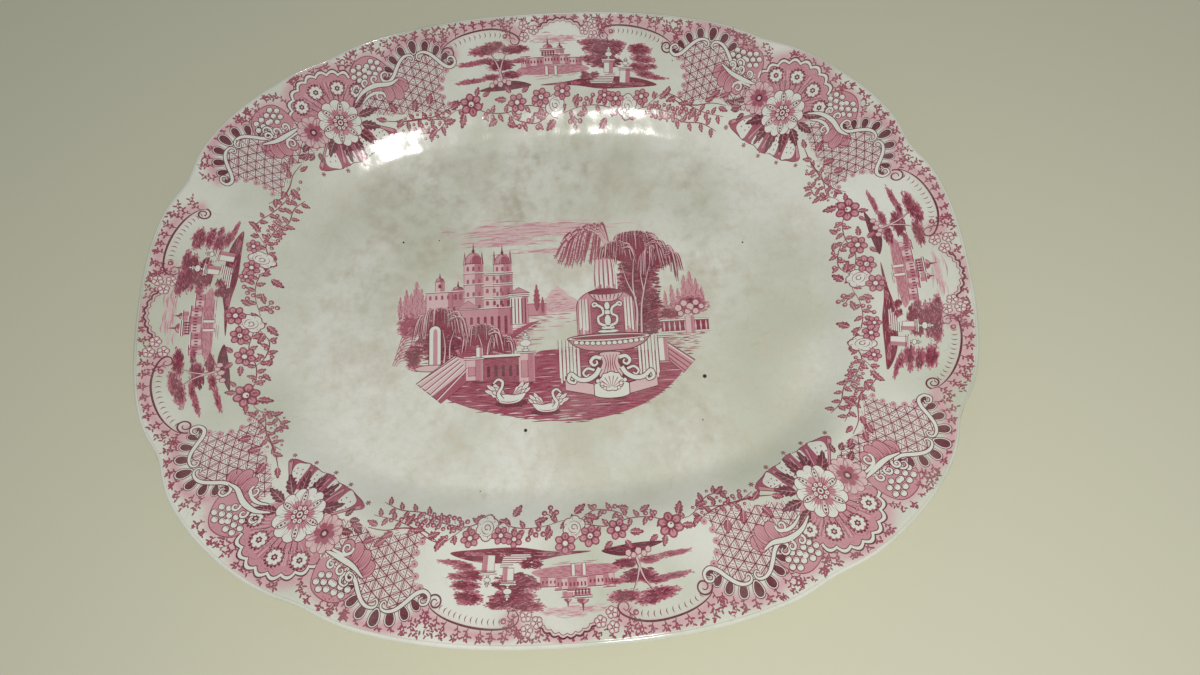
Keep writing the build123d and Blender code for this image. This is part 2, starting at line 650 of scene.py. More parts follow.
@dataclass(frozen=True)
class FaceGlaze(PlainGlaze):
    """The face: the wash of the border's ground, use stains in the well and a cream edge."""

    wash: Colour = (222, 176, 182)
    stain: Colour = (158, 148, 126)
    speck: Colour = (52, 38, 36)
    cream: Colour = (214, 206, 176)
    worn: Colour = (214, 209, 190)
    stains: tuple[tuple[float, float, float, float], ...] = (
        (-62, 56, 66, 0.52), (-6, 72, 76, 0.52), (-96, 22, 50, 0.4), (96, 14, 52, 0.4), (70, 56, 50, 0.4),
        (58, -58, 46, 0.25),
    )
    specks: tuple[tuple[float, float, float], ...] = (
        (70, -40, 1.3), (-18, -62, 1.1), (-78, 40, 0.7), (96, 30, 0.6),
    )
    well_height: float = 8.5

    def near(self, nodes: Nodes, where: bpy.types.NodeSocket, x: float, y: float, reach: float,
             core: float = 0.0) -> Quantity:
        """Gives how near the surface is to a spot in the well.

        Args:
            nodes: The material's node tree.
            where: The place on the object.
            x: The spot's place along the dish, in millimetres.
            y: Its place across the dish.
            reach: How far it spreads, in millimetres.
            core: The share of the reach that is full.

        Returns:
            A number from 0 at the reach to 1 at the core.
        """
        links = {0: where, 1: (x * MM, y * MM, self.well_height * MM)}
        away = nodes.quantity("ShaderNodeVectorMath", links, output="Value", operation="DISTANCE")
        return nodes.ramp(away, reach * MM, core * reach * MM)

    def colour(self, nodes: Nodes) -> bpy.types.NodeSocket:
        """Lays the wash, the stains and the worn edge over the plain glaze.

        Args:
            nodes: The node tree of the material.

        Returns:
            The colour.
        """
        base = super().colour(nodes)
        where = nodes.node("ShaderNodeTexCoord").outputs["Object"]
        inset = nodes.quantity("ShaderNodeAttribute", attribute_name="inset", output="Fac")
        fleck = nodes.noise(where, 160, 4)
        soiled = None
        for x, y, reach, strength in self.stains:
            spot = self.near(nodes, where, x, y, reach) * strength
            soiled = spot if soiled is None else Quantity.of("MAXIMUM", soiled, spot)
        drift = nodes.ramp(nodes.noise(where, 46, 9) * 0.6 + nodes.noise(where, 190, 4) * 0.4, 0.4, 0.7)
        grime = soiled * drift * nodes.ramp(fleck, 0.2, 0.6)
        well = nodes.ramp(inset, 55.0, 73.0)
        used = well * (drift * 0.6 + nodes.ramp(nodes.noise(where, 300, 3), 0.3, 0.8) * 0.4)
        stained = nodes.mix(grime, nodes.mix(used, base, paint(*self.worn)), paint(*self.stain))
        for x, y, reach in self.specks:
            stained = nodes.mix(self.near(nodes, where, x, y, reach, 0.5), stained, paint(*self.speck))
        tone = nodes.quantity("ShaderNodeAttribute", attribute_name="wash", output="Fac")
        stipple = nodes.noise(where, 1500, 2) * 0.5 + 0.75
        washed = nodes.mix(tone * stipple, stained, paint(*self.wash))
        lip = nodes.ramp(inset, 3.2, 1.4)
        return nodes.mix(lip * 0.35, washed, paint(*self.cream))


@dataclass(frozen=True)
class InkFinish(Glaze):
    """One tone of the print under the glaze, uneven where the transfer took badly."""

    tone: Ink = ROSE
    fade: float = 0.18

    def colour(self, nodes: Nodes) -> bpy.types.NodeSocket:
        """Lets the ground through the ink in grains and in wider faint places.

        Args:
            nodes: The node tree of the material.

        Returns:
            The colour.
        """
        where = nodes.node("ShaderNodeTexCoord").outputs["Object"]
        grain = nodes.ramp(nodes.noise(where, 2600, 2), 0.35, 0.75)
        patchy = nodes.ramp(nodes.noise(where, 55, 5), 0.35, 0.8)
        thin = (grain * 0.6 + patchy * 0.6) * self.fade
        return nodes.mix(thin, paint(*self.tone.value), paint(*WHITE.value))


@dataclass(frozen=True)
class BareClay:
    """Unglazed white earthenware, stained where it stands on tables."""

    name: str
    clay: Colour = (222, 212, 190)
    soil: Colour = (176, 156, 124)
    grit: Colour = (120, 100, 76)

    def make(self) -> bpy.types.Material:
        """Makes the material.

        Returns:
            A material named after the finish.
        """
        material = bpy.data.materials.new(self.name)
        material.use_nodes = True
        nodes = Nodes(material.node_tree)
        shader = material.node_tree.nodes["Principled BSDF"]
        where = nodes.node("ShaderNodeTexCoord").outputs["Object"]
        soiled = nodes.ramp(nodes.noise(where, 90, 6), 0.42, 0.68)
        speck = nodes.ramp(nodes.noise(where, 700, 2), 0.66, 0.72)
        body = nodes.mix(soiled * 0.7, paint(*self.clay), paint(*self.soil))
        nodes.link(nodes.mix(speck * 0.6, body, paint(*self.grit)), shader.inputs["Base Color"])
        rough = nodes.noise(where, 300, 3) * 0.3 + 0.55
        nodes.link(rough.socket, shader.inputs["Roughness"])
        grit = nodes.noise(where, 1500, 4)
        bump = nodes.node("ShaderNodeBump", {"Strength": 0.5, "Distance": 0.0002, "Height": grit})
        nodes.link(bump.outputs[0], shader.inputs["Normal"])
        return material


# ---------------------------------------------------------------- drawing the transfer sheet


Widths = float | tuple[float, ...]


def bend(*knots: Point, step: float = 0.8, closed: bool = False) -> np.ndarray:
    """Draws a smooth path through knots.

    Args:
        knots: Points that the path passes.
        step: The distance between the path's points, in millimetres.
        closed: True to join the last knot to the first.

    Returns:
        The path's points, N by 2.
    """
    marks = np.array(knots, float)
    if closed:
        marks = np.vstack([marks[-1], marks, marks[0], marks[1]])
    else:
        marks = np.vstack([2 * marks[0] - marks[1], marks, 2 * marks[-1] - marks[-2]])
    runs = []
    for a, b, c, d in zip(marks, marks[1:], marks[2:], marks[3:]):
        count = max(2, int(np.hypot(*(c - b)) / step) + 1)
        t = np.linspace(0, 1, count, endpoint=False)[:, None]
        runs.append(0.5 * (2 * b + (c - a) * t + (2 * a - 5 * b + 4 * c - d) * t**2
                           + (3 * b - a - 3 * c + d) * t**3))
    path = np.vstack(runs)
    return path if closed else np.vstack([path, marks[-2]])


def arc(x: float, y: float, radius: float, start: float, end: float, squash: float = 1.0,
        step: float = 0.8, to_radius: float | None = None) -> np.ndarray:
    """Draws an arc or a spiral.

    Args:
        x: The centre's place.
        y: The centre's height.
        radius: The radius where it starts.
        start: The starting angle in degrees, anticlockwise from +X.
        end: The ending angle.
        squash: Height as a share of width.
        step: The distance between points.
        to_radius: The radius where it ends, if it is a spiral.

    Returns:
        The path's points.
    """
    count = max(4, int(abs(end - start) * DEGREE * radius / step) + 1)
    angle = np.radians(np.linspace(start, end, count))
    reach = np.linspace(radius, radius if to_radius is None else to_radius, count)
    return np.stack([x + reach * np.cos(angle), y + reach * np.sin(angle) * squash], 1)


def scroll(x: float, y: float, heading: float, *runs: tuple[float, float, float],
           step: float = 0.5) -> np.ndarray:
    """Draws a path that turns at a changing rate.

    Args:
        x: Where it starts.
        y: Where it starts.
        heading: Its first heading in degrees.
        runs: Each run's length, and its rate of turn at its start and at its end, in degrees a millimetre.
        step: The distance between points.

    Returns:
        The path's points.
    """
    rates = np.concatenate([np.linspace(a, b, max(2, round(size / step))) for size, a, b in runs])
    angle = np.radians(heading + np.concatenate([[0], np.cumsum(rates[:-1] * step)]))
    moves = np.stack([np.cos(angle), np.sin(angle)], 1) * step
    return np.vstack([[x, y], [x, y] + np.cumsum(moves, axis=0)])


def along(path: np.ndarray, share: float) -> tuple[float, float, float]:
    """Gives the point and heading, in degrees, at a share of a path's length.

    Args:
        path: The path's points.
        share: How far along it, from 0 to 1.

    Returns:
        Its place along X and Y, and its heading in degrees.
    """
    size = np.concatenate([[0], np.cumsum(np.hypot(*np.diff(path, axis=0).T))])
    at = share * size[-1]
    x, y = (float(np.interp(at, size, path[:, axis])) for axis in (0, 1))
    nearby = max(size[-1] * 0.01, 1e-3)
    dx, dy = (
        float(np.interp(at + nearby, size, path[:, axis]) - np.interp(at - nearby, size, path[:, axis]))
        for axis in (0, 1)
    )
    return x, y, math.degrees(math.atan2(dy, dx))


def evenly(path: np.ndarray, step: float) -> np.ndarray:
    """Respaces a path's points so that none are further apart than a step.

    Args:
        path: The path's points.
        step: The longest run between points.

    Returns:
        The new points.
    """
    size = np.concatenate([[0], np.cumsum(np.hypot(*np.diff(path, axis=0).T))])
    count = max(2, math.ceil(size[-1] / step) + 1)
    at = np.linspace(0, size[-1], count)
    return np.stack([np.interp(at, size, path[:, axis]) for axis in (0, 1)], 1)


def divided(path: np.ndarray, step: float) -> np.ndarray:
    """Cuts a path's long runs so that none is over a step, and keeps all its points.

    Args:
        path: The path's points.
        step: The longest run between points.

    Returns:
        The new points.
    """
    runs = []
    for start, end in zip(path, path[1:]):
        count = max(1, math.ceil(np.hypot(*(end - start)) / step))
        runs.append(start + (end - start) * np.linspace(0, 1, count, endpoint=False)[:, None])
    return np.vstack([*runs, path[-1:]])


def inside(outline: np.ndarray, points: np.ndarray) -> np.ndarray:
    """Tells which points lie inside a closed outline.

    Args:
        outline: Its points, in order.
        points: The points in question, N by 2.

    Returns:
        One truth value for each point.
    """
    found = np.zeros(len(points), bool)
    for (ax, ay), (bx, by) in zip(outline, np.roll(outline, -1, axis=0)):
        crosses = (ay > points[:, 1]) != (by > points[:, 1])
        with np.errstate(divide="ignore", invalid="ignore"):
            found ^= crosses & (points[:, 0] < (bx - ax) * (points[:, 1] - ay) / (by - ay) + ax)
    return found


class Motif(Enum):
    """Small repeated motifs of the print. Each value is the motif's number in its collection."""

    LEAFLET = 0
    BERRY = 1
    BEAD = 2
    TICK = 3
    DROP = 4
    PIP = 5
    FLORET = 6
    STAR = 7
    DAB = 8
    LEAF = 9
    BLOSSOM = 10
    TUFT = 11


@dataclass
class Sheet:
    """A transfer sheet in millimetres. What is drawn is carried by place from local to dish coordinates."""

    place: Callable[[np.ndarray], np.ndarray] = field(default=lambda points: points)
    widest_flat: float = 2.6
    fine: float = 1.5
    nudges: int = 37
    least_nudge: float = 0.0125
    points: list[np.ndarray] = field(default_factory=list)
    faces: list[list[int]] = field(default_factory=list)
    inks: list[int] = field(default_factory=list)
    lifts: list[np.ndarray] = field(default_factory=list)
    stamps: list[tuple[float, ...]] = field(default_factory=list)
    count: int = 0
    marks: int = 0

    @contextmanager
    def at(self, x: float = 0, y: float = 0, turn: float = 0, size: float = 1,
           flip: int = 1) -> Iterator[None]:
        """Draws in a frame of its own for a while.

        Args:
            x: Where its origin goes.
            y: Where its origin goes.
            turn: Degrees anticlockwise.
            size: Its scale.
            flip: -1 to mirror it in its own Y axis.
        """
        outer = self.place
        spin = np.array([[math.cos(turn * DEGREE), -math.sin(turn * DEGREE)],
                         [math.sin(turn * DEGREE), math.cos(turn * DEGREE)]]) * size

        def placed(points: np.ndarray) -> np.ndarray:
            """Turns points and passes them on."""
            return outer(points * (flip, 1) @ spin.T + (x, y))

        self.place = placed
        yield
        self.place = outer

    def nudge(self) -> float:
        """Gives the next small part of a layer, so that no two marks on one layer lie in one plane."""
        self.marks += 1
        return self.marks % self.nudges * self.least_nudge

    def _add(self, points: np.ndarray, faces: list[list[int]], ink: Ink, layer: float) -> None:
        """Stores placed points and the faces on them, each turned upward.

        Args:
            points: Points in dish coordinates, N by 2.
            faces: Faces, as numbers of points.
            ink: Its tone.
            layer: The layer they lie on.
        """
        places = points.tolist()
        for face in faces:
            ring = [places[corner] for corner in face]
            area = sum(ax * by - bx * ay for (ax, ay), (bx, by) in zip(ring, ring[1:] + ring[:1]))
            shifted = [corner + self.count for corner in face]
            self.faces.append(shifted if area > 0 else shifted[::-1])
        self.points.append(points)
        self.lifts.append(np.full(len(points), layer + self.nudge()))
        self.inks += [ink.number] * len(faces)
        self.count += len(points)

    def patch(self, outline: Path, ink: Ink, layer: float = 0, mesh: float = 0) -> None:
        """Fills an outline.

        Args:
            outline: Its points, N by 2.
            ink: Its tone.
            layer: Its place in the stack of layers.
            mesh: The distance between points inside it, or 0 for one face if it is small.
        """
        outline = np.asarray(outline, float)
        if not mesh and np.ptp(outline, axis=0).max() > self.widest_flat:
            mesh = self.fine
        if not mesh:
            self._add(self.place(outline), [list(range(len(outline)))], ink, layer)
            return
        closed = divided(np.vstack([outline, outline[:1]]), mesh)[:-1]
        (west, south), (east, north) = closed.min(0), closed.max(0)
        x, y = np.meshgrid(np.arange(west, east, mesh), np.arange(south, north, mesh * 0.87))
        x[1::2] += mesh / 2
        grid = np.stack([x.ravel(), y.ravel()], 1)
        gaps = np.hypot(*(grid[:, None] - closed[None]).transpose(2, 0, 1)).min(1) if len(grid) else grid
        grid = grid[(gaps > mesh * 0.4) & inside(closed, grid)] if len(grid) else grid
        every = [Vector(p) for p in np.vstack([closed, grid])]
        ring = list(range(len(closed)))
        found = delaunay_2d_cdt(every, [], [ring], 1, 1e-6, False)
        corners = np.array([tuple(point) for point in found[0]])
        faces = [list(face) for face in found[2]]
        within = inside(closed, np.array([corners[face].mean(0) for face in faces]).reshape(-1, 2))
        faces = [face for face, good in zip(faces, within) if good]
        if faces:
            self._add(self.place(corners), faces, ink, layer)

    def line(self, path: Path, width: Widths, ink: Ink, layer: float = 0, step: float = 0) -> None:
        """Draws a stroke.

        Args:
            path: Its points, N by 2.
            width: Its width, or widths spaced evenly from its start to its end.
            ink: Its tone.
            layer: Its place in the stack of layers.
            step: The distance between its points, or 0 to keep the path's own.
        """
        path = evenly(np.asarray(path, float), step) if step else np.asarray(path, float)
        widths = np.atleast_1d(np.asarray(width, float))
        widths = widths if len(widths) > 1 else np.repeat(widths, 2)
        share = np.linspace(0, 1, len(path))
        half = np.interp(share, np.linspace(0, 1, len(widths)), widths)[:, None] / 2
        heading = np.gradient(path, axis=0)
        side = np.stack([-heading[:, 1], heading[:, 0]], 1)
        side /= np.maximum(np.hypot(*side.T), 1e-9)[:, None]
        both = np.stack([path - side * half, path + side * half], 1).reshape(-1, 2)
        quads = [[2 * i, 2 * i + 2, 2 * i + 3, 2 * i + 1] for i in range(len(path) - 1)]
        self._add(self.place(both), quads, ink, layer)

    def piped(self, path: Path, width: Widths, edge: float, layer: float = 0, fill: Ink = WHITE) -> None:
        """Draws a light stroke between two dark edges."""
        self.line(path, np.asarray(width) + 2 * edge, WINE, layer)
        self.line(path, width, fill, layer + 1)

    def edged(self, outline: Path, fill: Ink, rim: Ink, edge: float, layer: float = 0,
              mesh: float = 0) -> None:
        """Fills an outline and draws round it."""
        self.patch(outline, fill, layer, mesh)
        self.line(np.vstack([outline, outline[:2]]), edge, rim, layer + 1)

    def stamp(self, motif: Motif, x: float, y: float, turn: float = 0, size: float = 1,
              layer: float = 0) -> None:
        """Marks where a repeated motif goes.

        Args:
            motif: The motif.
            x: Where its origin goes.
            y: Where its origin goes.
            turn: Degrees anticlockwise.
            size: Its scale.
            layer: The layer that its own lowest layer sits on.
        """
        ray = np.array([math.cos(turn * DEGREE), math.sin(turn * DEGREE)]) * 0.1
        here, ahead = self.place(np.array([(x, y), (x + ray[0], y + ray[1])]))
        reach = ahead - here
        scale = float(np.hypot(*reach)) / 0.1
        bearing = math.atan2(reach[1], reach[0])
        self.stamps.append((*here, motif.value, bearing, size * scale, layer + self.nudge()))

    def mesh(self, name: str) -> bpy.types.Mesh:
        """Makes the drawing a flat mesh, with a loose point for each stamp.

        Args:
            name: The mesh's name.

        Returns:
            The mesh.
        """
        stamps = np.array(self.stamps).reshape(-1, 6)
        drawn = np.vstack(self.points) if self.points else np.zeros((0, 2))
        places = np.vstack([drawn, stamps[:, :2]])
        places = np.hstack([places, np.zeros((len(places), 1))]) * MM
        mesh = bpy.data.meshes.new(name)
        mesh.from_pydata(places.tolist(), [], self.faces)
        still, many = np.zeros(len(drawn)), len(places)
        for key, kind, domain, values in (
            ("kind", "INT", "POINT", np.concatenate([still - 1, stamps[:, 2]]).astype(int)),
            ("turn", "FLOAT", "POINT", np.concatenate([still, stamps[:, 3]])),
            ("size", "FLOAT", "POINT", np.concatenate([still + 1, stamps[:, 4]])),
            ("base", "FLOAT", "POINT", np.concatenate([still, stamps[:, 5]])),
            ("lift", "FLOAT", "POINT", np.concatenate([*self.lifts, np.zeros(many - len(drawn))])),
            ("ink", "INT", "FACE", np.array(self.inks, int)),
        ):
            if len(values):
                mesh.attributes.new(key, kind, domain).data.foreach_set("value", values)
        return mesh


@dataclass
class Wash:
    """The soft tone under the lines, as spots in plan with a reach and a strength."""

    spots: list[np.ndarray] = field(default_factory=list)

    def trail(self, sheet: Sheet, path: np.ndarray, reach: float, strength: float) -> None:
        """Tones both sides of a path, which is given in the sheet's own frame."""
        places = sheet.place(evenly(np.asarray(path, float), reach * 0.4))
        self.spots.append(np.hstack([places, np.tile((reach, strength), (len(places), 1))]))

    def lay(self, piece: bpy.types.Object) -> None:
        """Writes the tone to a piece's wash attribute.

        Args:
            piece: The piece that is toned.
        """
        mesh = piece.data
        found = np.empty(len(mesh.vertices) * 3, np.float32)
        mesh.vertices.foreach_get("co", found)
        places = found.reshape(-1, 3)[:, :2] / MM
        tone = np.zeros(len(places))
        for x, y, reach, strength in np.vstack(self.spots):
            near = np.nonzero(np.abs(places - (x, y)).max(1) < reach)[0]
            share = np.clip(1 - np.hypot(*(places[near] - (x, y)).T) / reach, 0, 1)
            tone[near] = np.maximum(tone[near], strength * share * share * (3 - 2 * share))
        mesh.attributes.new("wash", "FLOAT", "POINT").data.foreach_set("value", tone)


CEILING = 0.1
ATLAS_CELLS = 3.0, 2.0
ATLAS_SPREAD = 2.3, 2.8


class Transfer:
    """Geometry nodes that stamp the repeated motifs, lay the sheet on the dish's face and ink it.

    The sheet is cast down from CEILING metres over itself. Each tone's faces get a cell of their own in the
    texture layout: ATLAS_CELLS counts the cells, and ATLAS_SPREAD is how much of a cell a metre fills.
    """

    def __init__(self, face: bpy.types.Object, motifs: bpy.types.Collection,
                 inks: dict[Ink, bpy.types.Material], base: float = 0.05) -> None:
        """Builds the tree.

        Args:
            face: The piece that the sheet is laid on.
            motifs: The repeated motifs, in the order of their numbers.
            inks: Each tone's material.
            base: The lowest layer's height over the face.
        """
        tree = self.tree = Tree("Transfer Print")
        self.values = {"Face": face, "Motifs": motifs, "First Layer": base}
        self.values |= {title(ink.name.lower()): material for ink, material in inks.items()}
        target = tree.socket("Face", "NodeSocketObject")
        library = tree.socket("Motifs", "NodeSocketCollection")
        step_given, base_given = tree.number("Layer Step"), tree.number("First Layer")
        sheet = tree.into.outputs["Geometry"]
        kind = Quantity(tree.group, tree.stored("kind", "INT"))
        marked = Quantity.of("GREATER_THAN", kind, -0.5)
        stock = tree.node("GeometryNodeCollectionInfo", {"Collection": library, "Separate Children": True})
        spin = tree.node("ShaderNodeCombineXYZ", {"Z": tree.stored("turn")}).outputs[0]
        stamped = tree.node("GeometryNodeInstanceOnPoints", {
            "Points": sheet, "Selection": marked, "Instance": stock.outputs[0], "Pick Instance": True,
            "Instance Index": kind, "Rotation": spin, "Scale": tree.stored("size"),
        }).outputs[0]
        drawn = tree.node("GeometryNodeDeleteGeometry", {"Geometry": sheet, "Selection": marked}).outputs[0]
        joined = tree.node("GeometryNodeJoinGeometry")
        tree.link(stamped, joined.inputs[0])
        tree.link(drawn, joined.inputs[0])
        flat = tree.node("GeometryNodeRealizeInstances", {"Geometry": joined.outputs[0]}).outputs[0]
        body = tree.node("GeometryNodeObjectInfo", {"Object": target}).outputs["Geometry"]
        smooth = tree.node("GeometryNodeInputNormal").outputs[0]
        here = tree.node("GeometryNodeInputPosition").outputs[0]
        above = tree.node("ShaderNodeVectorMath", {0: here, 1: (0, 0, CEILING)}).outputs[0]
        hit = tree.node("GeometryNodeRaycast", {
            "Target Geometry": body, "Attribute": smooth, "Source Position": above,
            "Ray Direction": (0, 0, -1), "Ray Length": 2 * CEILING,
        }, data_type="FLOAT_VECTOR")
        normal = tree.node(
            "ShaderNodeVectorMath", {0: hit.outputs["Attribute"]}, operation="NORMALIZE").outputs[0]
        layer = Quantity(tree.group, tree.stored("lift")) + Quantity(tree.group, tree.stored("base"))
        reach = (layer * step_given + base_given) * MM
        rise = tree.node("ShaderNodeVectorMath", {0: normal, "Scale": reach}, operation="SCALE").outputs[0]
        place = tree.node("ShaderNodeVectorMath", {0: hit.outputs["Hit Position"], 1: rise}).outputs[0]
        missed = Quantity.of("LESS_THAN", Quantity(tree.group, hit.outputs["Is Hit"]), 0.5)
        kept = tree.node("GeometryNodeDeleteGeometry", {"Geometry": flat, "Selection": missed}).outputs[0]
        captured = tree.node("GeometryNodeStoreNamedAttribute", {
            "Geometry": kept, "Name": "surface", "Value": normal}, data_type="FLOAT_VECTOR").outputs[0]
        laid = tree.node("GeometryNodeSetPosition", {"Geometry": captured, "Position": place}).outputs[0]
        tone = Quantity(tree.group, tree.stored("ink", "INT"))
        across = Quantity.of("FLOORED_MODULO", tone, ATLAS_CELLS[0])
        down = Quantity.of("FLOOR", tone / ATLAS_CELLS[0])
        parts = tree.node("ShaderNodeSeparateXYZ", {0: here}).outputs
        u, v = (
            (Quantity(tree.group, part) * spread + 0.5 + cell) / cells
            for part, spread, cell, cells in zip(parts, ATLAS_SPREAD, (across, down), ATLAS_CELLS)
        )
        uv = tree.node("ShaderNodeCombineXYZ", {"X": u, "Y": v}).outputs[0]
        mapped = tree.node("GeometryNodeStoreNamedAttribute", {
            "Geometry": laid, "Name": "OFBake", "Value": uv}, data_type="FLOAT2", domain="CORNER").outputs[0]
        shaded = tree.node("GeometryNodeSetMeshNormal", {
            "Mesh": mapped, "Custom Normal": tree.stored("surface", "FLOAT_VECTOR")}, mode="FREE").outputs[0]
        for ink in Ink:
            material = tree.socket(title(ink.name.lower()), "NodeSocketMaterial")
            chosen = Quantity.of("COMPARE", tone, ink.number, 0.5)
            shaded = tree.node("GeometryNodeSetMaterial", {
                "Geometry": shaded, "Selection": chosen, "Material": material}).outputs[0]
        tree.finish(shaded)

    def lay(self, name: str, sheet: Sheet, step: float = 0.012) -> bpy.types.Object:
        """Lays a sheet on the face.

        Args:
            name: The piece's name.
            sheet: What is drawn on it.
            step: The height of one layer over the last, in millimetres.

        Returns:
            The piece, riding with the dish.
        """
        piece = self.tree.run(name, sheet.mesh(name), self.values | {"Layer Step": step})
        for key in ("kind", "turn", "size", "base", "lift", "ink", "surface"):
            if key in piece.data.attributes:
                piece.data.attributes.remove(piece.data.attributes[key])
        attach(piece, "root")
        log.info("%s: %d faces", name, len(piece.data.polygons))
        return piece


def rosette(radius: float, lobes: int, depth: float, turn: float = 0, count: int = 8) -> np.ndarray:
    """Draws a closed outline with rounded lobes.

    Args:
        radius: The radius at the lobes' tips.
        lobes: How many lobes.
        depth: How far the notches between them cut in, as a share of the radius.
        turn: Degrees from +X to the first tip.
        count: Points to a lobe.

    Returns:
        The outline's points.
    """
    share = np.arange(lobes * count) / count
    dip = np.abs(np.sin(np.pi * (share + 0.5))) ** 0.7
    reach = radius * (1 - depth * (1 - dip))
    angle = FULL * share / lobes + turn * DEGREE
    return np.stack([reach * np.cos(angle), reach * np.sin(angle)], 1)


def dot(radius: float, sides: int) -> np.ndarray:
    """Draws a round dot with the given number of sides."""
    return rosette(radius, sides, 0, 0, 1)


def oblong(x: float, y: float, width: float, height: float) -> np.ndarray:
    """Draws an upright oblong from its lower left corner."""
    return np.array([(x, y), (x + width, y), (x + width, y + height), (x, y + height)], float)


def shrunk(outline: np.ndarray, across: float, up: float) -> np.ndarray:
    """Draws an outline again about its middle, at a share of its width and of its height."""
    return (outline - outline.mean(0)) * (across, up) + outline.mean(0)


def polar(reach: float, turn: float) -> np.ndarray:
    """Gives the point at a distance and at an angle in degrees from the origin."""
    return np.array([reach * math.cos(turn * DEGREE), reach * math.sin(turn * DEGREE)])


def oval(length: float, width: float, x: float = 0, count: int = 12, point: float = 0.0) -> np.ndarray:
    """Draws an oval that starts at x and runs along +X, narrowed towards its far end by point.

    Args:
        length: Its size along X.
        width: Its size along Y.
        x: Where it starts.
        count: How many points.
        point: How much narrower its far half is.

    Returns:
        The outline's points.
    """
    angle = np.linspace(0, FULL, count, endpoint=False)
    run = (1 - np.cos(angle)) / 2
    return np.stack([x + length * run, width / 2 * np.sin(angle) * (1 - point * (run - 0.5))], 1)


def blade(length: float, width: float, teeth: int = 0, bow: float = 0.0, count: int = 8) -> np.ndarray:
    """Draws a pointed leaf along +X.

    Args:
        length: From stalk to tip.
        width: At its widest.
        teeth: Notches along each side.
        bow: How far the tip bends aside.
        count: Points along each side, where there are no teeth.

    Returns:
        The outline's points.
    """
    run = np.linspace(0, 1, (2 * teeth if teeth else count) + 1)
    half = width / 2 * np.sin(np.pi * run**0.8) ** 0.85
    if teeth:
        half[2:-1:2] *= 0.72
        run = run + np.where(np.arange(len(run)) % 2, 0.03, -0.03) * (run > 0) * (run < 1)
    shift = bow * run**2
    upper = np.stack([run * length, half + shift], 1)
    lower = np.stack([run * length, shift - half], 1)[::-1]
    return np.vstack([upper, lower[1:-1]])


